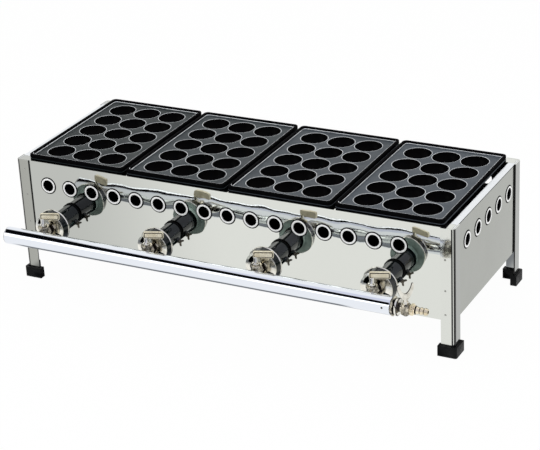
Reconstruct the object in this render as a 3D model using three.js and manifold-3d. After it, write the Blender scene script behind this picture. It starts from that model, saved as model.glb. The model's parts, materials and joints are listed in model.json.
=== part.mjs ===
// Countertop gas cooker for round batter balls: a steel box on four angle legs carries
// four lift-off cast plates of fifteen cups. One cast burner sits under each plate, fed
// through an air shutter, a nozzle and a gas cock from a pipe across the front.
//
// Millimetres and radians, +Z up. X runs along the gas pipe, -Y is the front, the floor is Z = 0.
// The shapes below are placed from the middle of the box; the last lines shift the whole
// part, so that its origin is the middle of its outline on the floor.

import * as THREE from 'three';
import { mergeVertices } from 'three/addons/utils/BufferGeometryUtils.js';
import Module from 'manifold-3d';

const wasm = await Module();
wasm.setup();

// Driving dimensions of the box
const boxWidth = 750;
const boxDepth = 278;
const boxTop = 207;
const panelBottom = 57.5;
const sheet = 1.5;
const seatGap = 0.3;
const cutOverrun = 2;

// Legs of angle steel, and their rubber feet
const legArm = 22;
const legSteel = 2;
const legBendRadius = 1.6;
const footHeight = 17;
const footFloor = 3;
const footWall = 4.2;
const footRadius = 3;

// Vents: holes with a raised rim. The edges are from the box's corner to the first and
// the last hole's middle.
const ventRadius = 9.5;
const ventRimRadius = 12.4;
const ventRimHeight = 1.2;
const ventDrop = 39;
const frontVentCount = 16;
const frontVentLeftEdge = 55.4;
const frontVentRightEdge = 87.1;
const sideVentCount = 5;
const sideVentFrontEdge = 56;
const sideVentRearEdge = 48;

// Tray that closes the box from below
const panSheet = 1;
const panWall = 12;

// Plates with cups: a rim above the box's top, a face lower than the rim, and cups in
// as many columns and rows as the plate has room for
const plateCount = 4;
const plateSideEdge = 19.35;
const plateFrontEdge = 7;
const plateSplit = 5.9;
const plateCorner = 7;
const plateRise = 8.6;
const trayDepth = 3.4;
const plateRimWidth = 3.4;
const plateThickness = 4;
const skirtWidth = 5;
const cupPitch = 47.5;
const cupEdge = 36;
const cupMouthRadius = 21.9;
const cupDepth = 20;
const cupWall = 3.2;
const cupShellRadius = 23.5;
const cupShellGap = 2.2;
const sideFlange = 11;

// Gas line: every burner's tube, shutter, nozzle and cock lie on one level axis. A reach
// is how far something stands in front of the box.
const burnerEdge = 95.25;
const gasHeight = 126.5;
const pipeRadius = 13.6;
const pipeWall = 2.7;
const pipeDrop = 2.5;
const pipeLeftEdge = 42;
const pipeRightEdge = 54;
const plugLength = 12;

// Burner casting
const tubeRadius = 15.5;
const tubeBore = 12.5;
const tubeHoleGap = 0.4;
const tubeReach = 51;
const tubeFlare = 17.5;
const throatInset = 19;
const headFrontInset = 47;
const headRearInset = 43;
const headRise = 25.5;
const armRise = 3.5;
const headWidth = 118;
const crossDepth = 30;
const armWidth = 22;
const armCount = 3;
const armChamfer = 5;
const portRadius = 4;
const portHeight = 3;
const portRows = 4;
const portEdge = 16;
const portSides = 6;
const ribWidth = 3;
const ribHeight = 2.6;
const ribAngleShare = -0.78;

// Boss and wing screw that hold the burner's tube
const screwReach = 10.5;
const screwAngle = -0.5;
const bossRadius = 4.6;
const bossLength = 3;
const screwRadius = 2;
const screwBoreGap = 0.3;
const screwHeadRadius = 3.4;
const screwHeadHeight = 2.4;
const wingSpan = 12.5;
const wingHeight = 5;
const wingThickness = 1.6;
const wingShoulderShare = 0.55;

// Mixer cup on the tube's mouth, and the air shutter that turns on its hub
const mixerReach = 48.5;
const mixerDepth = 13.5;
const mixerFlare = 3;
const mixerWall = 1.5;
const mixerHubWall = 2;
const mixerSocketLength = 7;
const mixerSocketWall = 2;
const shutterRadius = 25.4;
const shutterLip = 0.4;
const shutterThickness = 1.5;
const shutterEdge = 0.7;
const windowInnerWall = 4.2;
const windowOuterWall = 3.4;
const windowSpan = 0.7;
const windowAngle = 2.5;

// Gas cock: a tapered plug turns in an upright housing, with a flag lever on top.
// Rises and drops count from the gas line's axis.
const cockPipeGap = 0.5;
const cockNozzleGap = 6;
const cockHousingRadius = 8;
const cockHousingDrop = 11.5;
const cockHousingRise = 12;
const cockCollarRadius = 9;
const cockCollarHeight = 3;
const plugTopRadius = 5.6;
const plugBottomRadius = 4.6;
const plugGap = 0.3;
const gasBore = 2.4;
const spigotRadius = 5.4;
const spigotReach = 3.2;
const cockNoseRadius = 6.6;
const cockNoseLength = 10.4;
const nozzleRootRadius = 3;
const nozzleRootLength = 3.4;
const nozzleHexRadius = 5.7;
const nozzleTipRadius = 3.2;
const nozzleInset = 7;
const nozzleConeLength = 4;
const nozzleOrifice = 0.9;
const stemRadius = 3.6;
const nutRadius = 6.4;
const nutHeight = 3;
const leverRise = 23;
const leverHeight = 10.5;
const leverLength = 27;
const leverThickness = 3.4;
const leverOverhang = 3.6;
const leverCorner = 2.2;
const leverTurn = 0.35;

// Main cock on the pipe's right end, and its hose barb. Rises and drops count from the
// pipe's axis.
const bushHexLength = 4.6;
const bushNeckLength = 1.5;
const bushCollarLength = 4.7;
const bushHexRadius = 14.6;
const bushNeckRadius = 10.8;
const bushCollarRadius = 13.2;
const bushSocket = 9;
const bushThread = 6.6;
const bushBore = 4;
const bushWeb = 2;
const mainThreadShown = 1.9;
const mainBodyRadius = 6.6;
const mainPlugWall = 2.65;
const mainPlugRadius = 4.6;
const mainHousingBulge = 0.05;
const mainHousingDrop = 8.5;
const mainHousingRise = 7;
const mainStemRadius = 3.6;
const mainNutHeight = 2.6;
const mainBladeRise = 14;
const mainHubRise = 23;
const mainWingRise = 38;
const mainWingSpan = 13;
const mainWingThickness = 2.6;
const mainWingWidth = 7;
const mainTurn = 0.81;
const barbRoot = 4;
const barbRootGap = 0.35;
const barbHexRadius = 8.8;
const barbHexLength = 5.4;
const barbCollarRadius = 7;
const barbCollarLength = 2.2;
const barbLength = 26.5;
const barbRadius = 5.7;
const barbGroove = 4.3;
const barbBore = 2.6;
const barbRingCount = 3;
const barbTopShare = 1 / 3;

// Angle bar that carries the rear of the four burners
const barInset = 65;
const barArm = 20;
const barSteel = 2;

// Facets
const roundSides = 20;
const discSides = 16;
const smallSides = 12;
const boreSides = 8;
const hexSides = 6;
const ventSides = 10;
const cupSides = 10;
const cupRings = 3;
const shellSides = 8;
const shellRings = 2;
const cornerSteps = 2;
const bladeSteps = 4;

// Materials
const finish = (color, roughness, metalness) =>
  new THREE.MeshStandardMaterial({ color, roughness, metalness });
const steel = finish(0xc9c9c4, 0.25, 1);
const sideSteel = finish(0xb4b4b0, 0.3, 1);
const castIron = finish(0x26292b, 0.6, 0.3);
const enamel = finish(0x2c3836, 0.45, 0.4);
const chrome = finish(0xdfe3e8, 0.12, 1);
const nickel = finish(0xcfcbbd, 0.28, 1);
const brass = finish(0xb99b5a, 0.35, 1);
const rubber = finish(0x17181a, 0.8, 0);

// Solids: closed meshes are joined and cut as manifolds, and come back as geometry
const { Manifold } = wasm;

function merged(geometry) {
  const bare = geometry.clone();
  bare.deleteAttribute('normal');
  bare.deleteAttribute('uv');
  return mergeVertices(bare);
}

// The triangles of a closed geometry, without the flat ones at a lathe's poles,
// turned round where they would face inwards
function facesOut(positions, index) {
  const triangles = [];
  const corners = [new THREE.Vector3(), new THREE.Vector3(), new THREE.Vector3()];
  let volume = 0;
  for (let i = 0; i < index.length; i += 3) {
    const [a, b, c] = [index[i], index[i + 1], index[i + 2]];
    if (a === b || b === c || c === a) continue;
    [a, b, c].forEach((vertex, k) => corners[k].fromArray(positions, 3 * vertex));
    volume += corners[0].dot(corners[1].clone().cross(corners[2]));
    triangles.push(a, b, c);
  }
  if (volume < 0) {
    for (let i = 0; i < triangles.length; i += 3) {
      [triangles[i + 1], triangles[i + 2]] = [triangles[i + 2], triangles[i + 1]];
    }
  }
  return triangles;
}

function solid(geometry) {
  const shape = merged(geometry);
  const positions = shape.attributes.position.array;
  const triangles = facesOut(positions, shape.index.array);
  return new Manifold(new wasm.Mesh({
    numProp: 3,
    vertProperties: new Float32Array(positions),
    triVerts: new Uint32Array(triangles),
  }));
}

function joined(first, ...rest) {
  return rest.reduce((sum, piece) => sum.add(piece), first);
}

function cut(body, ...tools) {
  return tools.reduce((left, tool) => left.subtract(tool), body);
}

const model = new THREE.Group();

function addPiece(name, shape, material, place = {}) {
  const out = shape.getMesh();
  const geometry = new THREE.BufferGeometry();
  geometry.setAttribute('position', new THREE.BufferAttribute(new Float32Array(out.vertProperties), 3));
  geometry.setIndex(new THREE.BufferAttribute(new Uint32Array(out.triVerts), 1));
  geometry.computeVertexNormals();
  const mesh = new THREE.Mesh(geometry, material);
  mesh.name = name;
  mesh.position.set(place.x ?? 0, place.y ?? 0, place.z ?? 0);
  model.add(mesh);
  return mesh;
}

// A box from its low corner to its high corner
function block(low, high) {
  const size = high.map((value, axis) => value - low[axis]);
  const geometry = new THREE.BoxGeometry(...size);
  geometry.translate(...high.map((value, axis) => (value + low[axis]) / 2));
  return solid(geometry);
}

// A flat shape in X and Y, raised from one height to another
function raised(shape, bottom, top, curveSegments = cornerSteps) {
  const geometry = new THREE.ExtrudeGeometry(shape, {
    depth: top - bottom, bevelEnabled: false, steps: 1, curveSegments,
  });
  geometry.translate(0, 0, bottom);
  return solid(geometry);
}

function roundedRectangle(width, depth, radius) {
  const [x, y] = [width / 2, depth / 2];
  const shape = new THREE.Shape();
  shape.absarc(x - radius, y - radius, radius, 0, Math.PI / 2);
  shape.absarc(radius - x, y - radius, radius, Math.PI / 2, Math.PI);
  shape.absarc(radius - x, radius - y, radius, Math.PI, 1.5 * Math.PI);
  shape.absarc(x - radius, radius - y, radius, 1.5 * Math.PI, 2 * Math.PI);
  return shape;
}

// A profile of [radius, height] points, turned about Z
function turned(profile, sides = roundSides) {
  const points = profile.map(([radius, height]) => new THREE.Vector2(radius, height));
  const geometry = new THREE.LatheGeometry(points, sides);
  geometry.rotateX(Math.PI / 2);
  return solid(geometry);
}

// The same for a plain cylinder, and for a profile that runs from the axis to the axis
function rod(radius, bottom, top, sides = roundSides) {
  return turned([[0, bottom], [radius, bottom], [radius, top], [0, top]], sides);
}

function turn(body, axis, angle) {
  const matrix = new THREE.Matrix4();
  if (axis === 'x') matrix.makeRotationX(angle);
  if (axis === 'y') matrix.makeRotationY(angle);
  if (axis === 'z') matrix.makeRotationZ(angle);
  return body.transform(matrix.elements);
}

const alongY = (body) => turn(body, 'x', -Math.PI / 2);
const alongX = (body) => turn(body, 'y', Math.PI / 2);
const range = (count) => Array.from({ length: count }, (_, i) => i);
const middled = (count, pitch) => range(count).map((i) => (i - (count - 1) / 2) * pitch);
const spread = (count, first, last) => range(count).map((i) => first + (last - first) * i / (count - 1));

// Box: corner, sheet faces and vents
const [cornerX, cornerY] = [boxWidth / 2, boxDepth / 2];
const panelX = cornerX - legSteel - seatGap;
const panelY = cornerY - legSteel - seatGap;
const sideEnd = panelY - sheet - seatGap;
const insideX = panelX - sheet - seatGap;
const ventHeight = boxTop - ventDrop;
const frontVentXs = spread(frontVentCount, frontVentLeftEdge - cornerX, cornerX - frontVentRightEdge);
const sideVentYs = spread(sideVentCount, sideVentFrontEdge - cornerY, cornerY - sideVentRearEdge);

// Plates: their size, their heights, and the room that the cups leave for the flanges
const platePitch = (boxWidth - 2 * plateSideEdge + plateSplit) / plateCount;
const plateWidth = platePitch - plateSplit;
const plateDepth = boxDepth - 2 * plateFrontEdge;
const plateXs = middled(plateCount, platePitch);
const plateRimTop = boxTop + plateRise;
const plateFace = plateRimTop - trayDepth;
const cupsIn = (length) => Math.floor((length - 2 * cupEdge) / cupPitch) + 1;
const cupXs = middled(cupsIn(plateWidth), cupPitch);
const cupYs = middled(cupsIn(plateDepth), cupPitch);
const seatFlange = panelY - Math.max(...cupYs) - cupShellRadius - cupShellGap;

// Gas line: places from the box's corner
const burnerXs = spread(plateCount, burnerEdge - cornerX, cornerX - burnerEdge);
const pipeZ = gasHeight - pipeDrop;
const pipeLeft = cornerX - pipeLeftEdge;
const pipeRight = cornerX - pipeRightEdge;
const tubeFront = -cornerY - tubeReach;
const throatY = throatInset - cornerY;
const headFront = headFrontInset - cornerY;
const headRear = cornerY - headRearInset;
const headTop = gasHeight + headRise;
const headBottom = gasHeight + armRise;
const screwY = -cornerY - screwReach;
const bossReach = tubeRadius + bossLength;
const mixerRear = -cornerY - mixerReach;
const mixerFront = mixerRear - mixerDepth;
const cockNoseEnd = mixerFront - cockNozzleGap;
const cockY = cockNoseEnd - cockNoseLength;
const pipeY = cockY - cockHousingRadius - pipeRadius - cockPipeGap;
const cockHousingBottom = gasHeight - cockHousingDrop;
const cockHousingTop = gasHeight + cockHousingRise;
const nozzleTip = mixerFront + nozzleInset;
const mixerFrontRadius = shutterRadius - shutterLip;
const mixerRearRadius = mixerFrontRadius + mixerFlare;
const mixerHubBore = nozzleHexRadius + seatGap;
const mixerHubRadius = mixerHubBore + mixerHubWall;
const windowInner = mixerHubRadius + windowInnerWall;
const windowOuter = shutterRadius - windowOuterWall;
const leverBottom = gasHeight + leverRise;
const leverTop = leverBottom + leverHeight;

// A panel lies in X and Z with its outer face at y = 0 and its material behind it.
// The vents are at the given places, each with a rim that stands out of the outer face.
function ventedSheet(halfWidth, ventXs, { holes = [], rims = true } = {}) {
  let panel = block([-halfWidth, 0, panelBottom], [halfWidth, sheet, boxTop]);
  const rim = alongY(rod(ventRimRadius, -ventRimHeight, sheet / 2, ventSides));
  const hole = alongY(rod(ventRadius, -ventRimHeight - cutOverrun, sheet + cutOverrun, ventSides));
  if (rims) for (const x of ventXs) panel = panel.add(rim.translate(x, 0, ventHeight));
  for (const x of ventXs) panel = panel.subtract(hole.translate(x, 0, ventHeight));
  for (const { x, z, radius } of holes) {
    const opening = alongY(rod(radius, -cutOverrun, sheet + cutOverrun));
    panel = panel.subtract(opening.translate(x, 0, z));
  }
  return panel;
}

function makeFrontPanel() {
  const holes = burnerXs.map((x) => ({ x, z: gasHeight, radius: tubeRadius + tubeHoleGap }));
  const flange = block([-insideX, 0, boxTop - sheet], [insideX, seatFlange, boxTop]);
  return ventedSheet(panelX, frontVentXs, { holes }).add(flange).translate(0, -panelY, 0);
}

function makeBackPanel() {
  const flange = block([-insideX, 0, boxTop - sheet], [insideX, seatFlange, boxTop]);
  const panel = ventedSheet(panelX, frontVentXs, { rims: false }).add(flange);
  return turn(panel, 'z', Math.PI).translate(0, panelY, 0);
}

// The right side's outer face looks along +X, and the left side is its mirror image
function makeSidePanel(side) {
  const flangeEnd = panelY - seatFlange - seatGap;
  const panel = ventedSheet(sideEnd, sideVentYs.map((y) => y * side));
  const flange = block([-flangeEnd, 0, boxTop - sheet], [flangeEnd, sideFlange, boxTop]);
  return turn(panel.add(flange), 'z', side * Math.PI / 2).translate(side * panelX, 0, 0);
}

addPiece('front_panel', makeFrontPanel(), steel);
addPiece('back_panel', makeBackPanel(), steel);
addPiece('right_side_panel', makeSidePanel(1), sideSteel);
addPiece('left_side_panel', makeSidePanel(-1), sideSteel);

// Tray between the four panels, its floor level with their lower edges
function makeBottomPan() {
  const [x, y] = [panelX - sheet - seatGap, sideEnd];
  const [innerX, innerY] = [x - panSheet, y - panSheet];
  const [floor, top] = [panelBottom + panSheet, panelBottom + panWall];
  return cut(
    block([-x, -y, panelBottom], [x, y, top]),
    block([-innerX, -innerY, floor], [innerX, innerY, top + cutOverrun]),
  );
}

addPiece('bottom_pan', makeBottomPan(), sideSteel);

// An angle in X and Y: its outer corner is the origin, its arms run along -X and +Y
function angleShape(arm, thickness, bend) {
  const shape = new THREE.Shape();
  shape.moveTo(-arm, 0);
  shape.lineTo(-bend, 0);
  shape.absarc(-bend, bend, bend, 1.5 * Math.PI, 2 * Math.PI);
  shape.lineTo(0, arm);
  shape.lineTo(-thickness, arm);
  shape.lineTo(-thickness, thickness);
  shape.lineTo(-arm, thickness);
  return shape;
}

// Front right leg and foot, which mirrors turn into the other three
function makeLeg() {
  return raised(angleShape(legArm, legSteel, legBendRadius), footFloor + seatGap, boxTop)
    .translate(cornerX, -cornerY, 0);
}

function makeFoot() {
  const arm = legArm + 2 * footWall;
  const outline = angleShape(arm, legSteel + 2 * footWall, footRadius);
  const body = raised(outline, 0, footHeight).translate(footWall, -footWall, 0);
  const socket = angleShape(legArm + 2 * seatGap, legSteel + 2 * seatGap, legBendRadius);
  const pocket = raised(socket, footFloor, footHeight + cutOverrun)
    .translate(seatGap, -seatGap, 0);
  return cut(body, pocket).translate(cornerX, -cornerY, 0);
}

const cornerNames = { front: -1, rear: 1 };
const sideNames = { left: -1, right: 1 };
for (const [depthName, depthSide] of Object.entries(cornerNames)) {
  for (const [sideName, side] of Object.entries(sideNames)) {
    const placed = (body) => {
      const across = side < 0 ? body.mirror([1, 0, 0]) : body;
      return depthSide > 0 ? across.mirror([0, 1, 0]) : across;
    };
    addPiece(`leg_${depthName}_${sideName}`, placed(makeLeg()), steel);
    addPiece(`foot_${depthName}_${sideName}`, placed(makeFoot()), rubber);
  }
}

// Plate: a slab with a raised rim and a skirt that stands on the front and rear flanges.
// Each cup is a part of a sphere, and its wall shows as a bulge underneath.
const cupSphere = (cupMouthRadius ** 2 + cupDepth ** 2) / (2 * cupDepth);

function cupBowl(mouthRadius, sphereRadius, top, sides, rings) {
  const centre = plateFace - cupDepth + cupSphere;
  const halfAngle = Math.asin(Math.min(1, mouthRadius / sphereRadius));
  const profile = [[0, centre - sphereRadius]];
  for (let ring = 1; ring <= rings; ring += 1) {
    const angle = halfAngle * (ring / rings);
    profile.push([sphereRadius * Math.sin(angle), centre - sphereRadius * Math.cos(angle)]);
  }
  profile.push([mouthRadius, top], [0, top]);
  return turned(profile, sides);
}

function makePlate() {
  const underside = plateFace - plateThickness;
  const outline = roundedRectangle(plateWidth, plateDepth, plateCorner);
  const inset = (margin) => roundedRectangle(
    plateWidth - 2 * margin, plateDepth - 2 * margin, plateCorner - margin / 2);
  let plate = raised(outline, boxTop + seatGap, plateRimTop);
  plate = cut(
    plate,
    raised(inset(plateRimWidth), plateFace, plateRimTop + cutOverrun),
    raised(inset(skirtWidth), boxTop - cutOverrun, underside),
  );
  const shellTop = plateFace - plateThickness / 2;
  const shell = cupBowl(cupShellRadius, cupSphere + cupWall, shellTop, shellSides, shellRings);
  const hollow = cupBowl(cupMouthRadius, cupSphere, plateRimTop + cutOverrun, cupSides, cupRings);
  const places = cupXs.flatMap((x) => cupYs.map((y) => [x, y]));
  for (const [x, y] of places) plate = plate.add(shell.translate(x, y, 0));
  for (const [x, y] of places) plate = plate.subtract(hollow.translate(x, y, 0));
  return plate;
}

const plate = makePlate();
plateXs.forEach((x, i) => addPiece(`plate_${i + 1}`, plate, castIron, { x }));

// Burner: a mixing tube that widens into a cross box, three flame arms with raised
// ports, a rib along the tube's lower right, and a boss for the wing screw
const radial = (body) => turn(turn(body, 'y', Math.PI / 2), 'y', -screwAngle);

function makeBurner() {
  const tube = alongY(turned([
    [0, tubeFront], [tubeRadius, tubeFront], [tubeRadius, throatY],
    [tubeFlare, headFront + crossDepth / 2], [0, headFront + crossDepth / 2],
  ])).translate(0, 0, gasHeight);
  const cross = block(
    [-headWidth / 2, headFront, gasHeight - tubeRadius],
    [headWidth / 2, headFront + crossDepth, headTop],
  );
  const [side, top] = [armWidth / 2, headTop - headBottom];
  const section = new THREE.Shape([
    [-side, 0], [side, 0], [side, top - armChamfer], [side - armChamfer, top],
    [armChamfer - side, top], [-side, top - armChamfer],
  ].map(([x, y]) => new THREE.Vector2(x, y)));
  const arm = turn(raised(section, 0, headRear - headFront), 'x', Math.PI / 2)
    .translate(0, headRear, headBottom);
  const port = rod(portRadius, headTop - armChamfer, headTop + portHeight, portSides);
  let body = tube.add(cross);
  const armPitch = (headWidth - armWidth) / (armCount - 1);
  const portYs = spread(portRows, headFront + crossDepth + portEdge, headRear - portEdge);
  for (const x of middled(armCount, armPitch)) {
    body = body.add(arm.translate(x, 0, 0));
    for (const y of portYs) body = body.add(port.translate(x, y, 0));
  }
  const rib = turn(block(
    [0, mixerRear + mixerSocketLength + seatGap, -ribWidth / 2],
    [tubeRadius + ribHeight, -panelY - seatGap, ribWidth / 2],
  ), 'y', -ribAngleShare).translate(0, 0, gasHeight);
  const boss = radial(rod(bossRadius, tubeRadius - ribHeight, bossReach, smallSides))
    .translate(0, screwY, gasHeight);
  body = joined(body, rib, boss);
  const bore = alongY(rod(tubeBore, tubeFront - cutOverrun, headFront, smallSides))
    .translate(0, 0, gasHeight);
  const thread = radial(rod(screwRadius + screwBoreGap, tubeBore / 2, bossReach + cutOverrun, boreSides))
    .translate(0, screwY, gasHeight);
  return cut(body, bore, thread);
}

function makeWingScrew() {
  const shankEnd = tubeBore + seatGap;
  const seat = bossReach + seatGap;
  const top = seat + screwHeadHeight;
  const shank = rod(screwRadius, shankEnd, seat + seatGap, boreSides);
  const head = rod(screwHeadRadius, seat, top, boreSides);
  const [half, rise, shoulder] = [wingSpan / 2, wingHeight, wingHeight * wingShoulderShare];
  const wing = new THREE.Shape();
  wing.moveTo(-screwHeadRadius / 2, 0);
  wing.lineTo(screwHeadRadius / 2, 0);
  wing.lineTo(half, shoulder);
  wing.lineTo(half, rise);
  wing.lineTo(screwHeadRadius, rise);
  wing.lineTo(0, rise / 2);
  wing.lineTo(-screwHeadRadius, rise);
  wing.lineTo(-half, rise);
  wing.lineTo(-half, shoulder);
  const blades = turn(raised(wing, -wingThickness / 2, wingThickness / 2), 'x', Math.PI / 2)
    .translate(0, 0, top - seatGap);
  return radial(joined(shank, head, blades)).translate(0, screwY, gasHeight);
}

// Sector-shaped windows through the shutter and the mixer cup, opposite each other
function windows(depth) {
  const sector = new THREE.Shape();
  const half = windowSpan / 2;
  sector.absarc(0, 0, windowOuter, windowAngle - half, windowAngle + half, false);
  sector.absarc(0, 0, windowInner, windowAngle + half, windowAngle - half, true);
  const one = raised(sector, -depth, depth, cornerSteps);
  return one.add(turn(one, 'z', Math.PI));
}

// Seen from the front, the windows' angle is counted from +X towards +Z
const facingFront = (body) => turn(body, 'x', Math.PI / 2);

function makeMixerCup() {
  const rimInner = mixerRearRadius - mixerWall;
  const socket = tubeRadius + seatGap;
  const profile = [
    [mixerHubBore, mixerFront - shutterThickness - 2 * seatGap],
    [mixerHubRadius, mixerFront - shutterThickness - 2 * seatGap],
    [mixerHubRadius, mixerFront],
    [mixerFrontRadius, mixerFront],
    [mixerRearRadius, mixerRear],
    [socket + mixerSocketWall, mixerRear],
    [socket + mixerSocketWall, mixerRear + mixerSocketLength],
    [socket, mixerRear + mixerSocketLength],
    [socket, mixerRear - mixerWall],
    [rimInner, mixerRear - mixerWall],
    [mixerFrontRadius - mixerWall, mixerFront + mixerWall],
    [mixerHubBore, mixerFront + mixerWall],
  ];
  const cup = alongY(turned([...profile, profile[0]]));
  const opening = facingFront(windows(mixerWall + cutOverrun)).translate(0, mixerFront, 0);
  return cut(cup, opening).translate(0, 0, gasHeight);
}

function makeAirShutter() {
  const front = mixerFront - seatGap - shutterThickness;
  const back = mixerFront - seatGap;
  const bore = mixerHubRadius + seatGap;
  const profile = [
    [bore, front], [shutterRadius - shutterEdge, front], [shutterRadius, front + shutterEdge],
    [shutterRadius, back], [bore, back],
  ];
  const disc = alongY(turned([...profile, profile[0]], discSides));
  const opening = facingFront(windows(shutterThickness + cutOverrun)).translate(0, mixerFront, 0);
  return cut(disc, opening).translate(0, 0, gasHeight);
}

// Cock body: upright housing, a spigot into the pipe and a nose for the nozzle
function makeCockBody() {
  const housing = turned([
    [0, cockHousingBottom], [cockHousingRadius, cockHousingBottom],
    [cockHousingRadius, cockHousingTop - cockCollarHeight],
    [cockCollarRadius, cockHousingTop - cockCollarHeight],
    [cockCollarRadius, cockHousingTop], [0, cockHousingTop],
  ], smallSides);
  const rear = pipeY + pipeRadius - spigotReach - cockY;
  const spigot = alongY(rod(spigotRadius, rear, 0, smallSides));
  const nose = alongY(rod(cockNoseRadius, 0, cockNoseEnd - cockY, hexSides));
  const collar = cockCollarRadius - cockHousingRadius;
  const flat = block(
    [-cockCollarRadius - collar, rear - cutOverrun, cockHousingTop - cockCollarHeight - collar],
    [cockCollarRadius + collar, collar - cockCollarRadius, cockHousingTop + cutOverrun],
  );
  let body = joined(
    housing,
    spigot.translate(0, 0, gasHeight),
    nose.translate(0, 0, gasHeight),
  );
  const plugHole = turned([
    [0, cockHousingBottom - cutOverrun], [plugBottomRadius + plugGap, cockHousingBottom - cutOverrun],
    [plugBottomRadius + plugGap, cockHousingBottom], [plugTopRadius + plugGap, cockHousingTop],
    [plugTopRadius + plugGap, cockHousingTop + cutOverrun], [0, cockHousingTop + cutOverrun],
  ], smallSides);
  const passage = alongY(rod(gasBore, rear - cutOverrun, 0, boreSides));
  const socket = alongY(rod(
    nozzleRootRadius + seatGap, 0, cockNoseEnd - cockY + cutOverrun, boreSides));
  body = cut(
    body, flat, plugHole,
    passage.translate(0, 0, gasHeight), socket.translate(0, 0, gasHeight),
  );
  return body.translate(0, cockY, 0);
}

// Lever with its plug: the plug's gas way lies across the pipe's while the lever is shut
function makeCockLever() {
  const plug = turned([
    [0, cockHousingBottom - nutHeight - seatGap],
    [nutRadius, cockHousingBottom - nutHeight - seatGap],
    [nutRadius, cockHousingBottom - seatGap],
    [plugBottomRadius, cockHousingBottom - seatGap],
    [plugBottomRadius, cockHousingBottom],
    [plugTopRadius, cockHousingTop],
    [plugTopRadius, cockHousingTop + nutHeight],
    [stemRadius, cockHousingTop + nutHeight + seatGap],
    [stemRadius, leverBottom + leverCorner],
    [0, leverBottom + leverCorner],
  ], smallSides);
  const [length, height] = [leverLength + leverOverhang, leverTop - leverBottom];
  const outline = roundedRectangle(length, height, leverCorner);
  const tab = turn(raised(outline, -leverThickness / 2, leverThickness / 2), 'x', Math.PI / 2)
    .translate(length / 2 - leverOverhang, 0, (leverTop + leverBottom) / 2);
  const way = alongX(rod(gasBore, -plugTopRadius - cutOverrun, plugTopRadius + cutOverrun, boreSides))
    .translate(0, 0, gasHeight);
  return cut(plug.add(turn(tab, 'z', leverTurn)), way).translate(0, cockY, 0);
}

function makeNozzle() {
  const root = cockNoseEnd - nozzleRootLength;
  const shoulder = cockNoseEnd + seatGap;
  const profile = [
    [nozzleOrifice, root], [nozzleRootRadius, root], [nozzleRootRadius, shoulder],
    [nozzleHexRadius, shoulder], [nozzleHexRadius, mixerFront + mixerWall],
    [nozzleTipRadius, nozzleTip - nozzleConeLength / 2], [nozzleTipRadius / 2, nozzleTip],
    [nozzleOrifice, nozzleTip],
  ];
  return alongY(turned([...profile, profile[0]], boreSides)).translate(0, 0, gasHeight);
}

const perBurner = {
  burner: [makeBurner(), enamel],
  burner_screw: [makeWingScrew(), nickel],
  mixer_cup: [makeMixerCup(), enamel],
  air_shutter: [makeAirShutter(), nickel],
  cock_body: [makeCockBody(), brass],
  cock_lever: [makeCockLever(), nickel],
  nozzle: [makeNozzle(), brass],
};
for (const [name, [shape, material]] of Object.entries(perBurner)) {
  burnerXs.forEach((x, i) => addPiece(`${name}_${i + 1}`, shape, material, { x }));
}

// Pipe along the front, with a hole for each cock, and its end plug
function makePipe() {
  const profile = [
    [pipeRadius - pipeWall, -pipeLeft], [pipeRadius, -pipeLeft],
    [pipeRadius, pipeRight], [pipeRadius - pipeWall, pipeRight],
  ];
  const tube = alongX(turned([...profile, profile[0]]));
  const hole = alongY(rod(spigotRadius + seatGap, 0, pipeRadius + cutOverrun, smallSides))
    .translate(0, 0, gasHeight - pipeZ);
  return cut(tube, ...burnerXs.map((x) => hole.translate(x, 0, 0))).translate(0, pipeY, pipeZ);
}

function makeEndPlug() {
  const inner = pipeRadius - pipeWall - seatGap;
  const profile = [
    [0, -pipeLeft + seatGap], [inner - seatGap, -pipeLeft + seatGap],
    [inner, -pipeLeft + 2 * seatGap], [inner, plugLength - pipeLeft], [0, plugLength - pipeLeft],
  ];
  return alongX(turned(profile)).translate(0, pipeY, pipeZ);
}

addPiece('manifold_pipe', makePipe(), chrome);
addPiece('pipe_end_plug', makeEndPlug(), chrome);

// Right end: bush in the pipe, main cock in the bush, hose barb in the cock. They are
// drawn about the pipe's axis, which `onPipe` lifts to its place.
const bushStart = pipeRight + seatGap;
const bushNeck = bushStart + bushHexLength;
const bushCollar = bushNeck + bushNeckLength;
const bushEnd = bushCollar + bushCollarLength;
const mainBodyStart = bushEnd + mainThreadShown;
const mainBodyLength = 2 * (mainPlugRadius + mainPlugWall);
const mainBodyEnd = mainBodyStart + mainBodyLength;
const mainHousingRadius = mainPlugRadius + mainPlugWall + mainHousingBulge;
const barbRootLength = mainPlugWall - barbRootGap;
const mainPlugX = mainBodyStart + mainBodyLength / 2;
const mainHousingBottom = pipeZ - mainHousingDrop;
const mainHousingTop = pipeZ + mainHousingRise;
const mainHubTop = pipeZ + mainHubRise;
const mainBladeBottom = pipeZ + mainBladeRise;
const mainWingTop = pipeZ + mainWingRise;
const onPipe = (body) => body.translate(0, pipeY, pipeZ);

function makeEndBush() {
  const start = pipeRight - bushSocket;
  const stem = alongX(turned([
    [0, start], [pipeRadius - pipeWall - seatGap, start], [pipeRadius - pipeWall - seatGap, bushStart],
    [bushNeckRadius, bushStart], [bushNeckRadius, bushCollar], [bushCollarRadius, bushCollar],
    [bushCollarRadius, bushEnd - seatGap], [bushCollarRadius - seatGap, bushEnd], [0, bushEnd],
  ]));
  const hexagon = alongX(rod(bushHexRadius, bushStart, bushNeck, hexSides));
  const socket = alongX(rod(bushThread + seatGap, pipeRight + bushWeb, bushEnd + cutOverrun, smallSides));
  const inlet = alongX(rod(bushBore, start - cutOverrun, bushEnd, boreSides));
  return onPipe(cut(stem.add(hexagon), inlet, socket));
}

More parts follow.
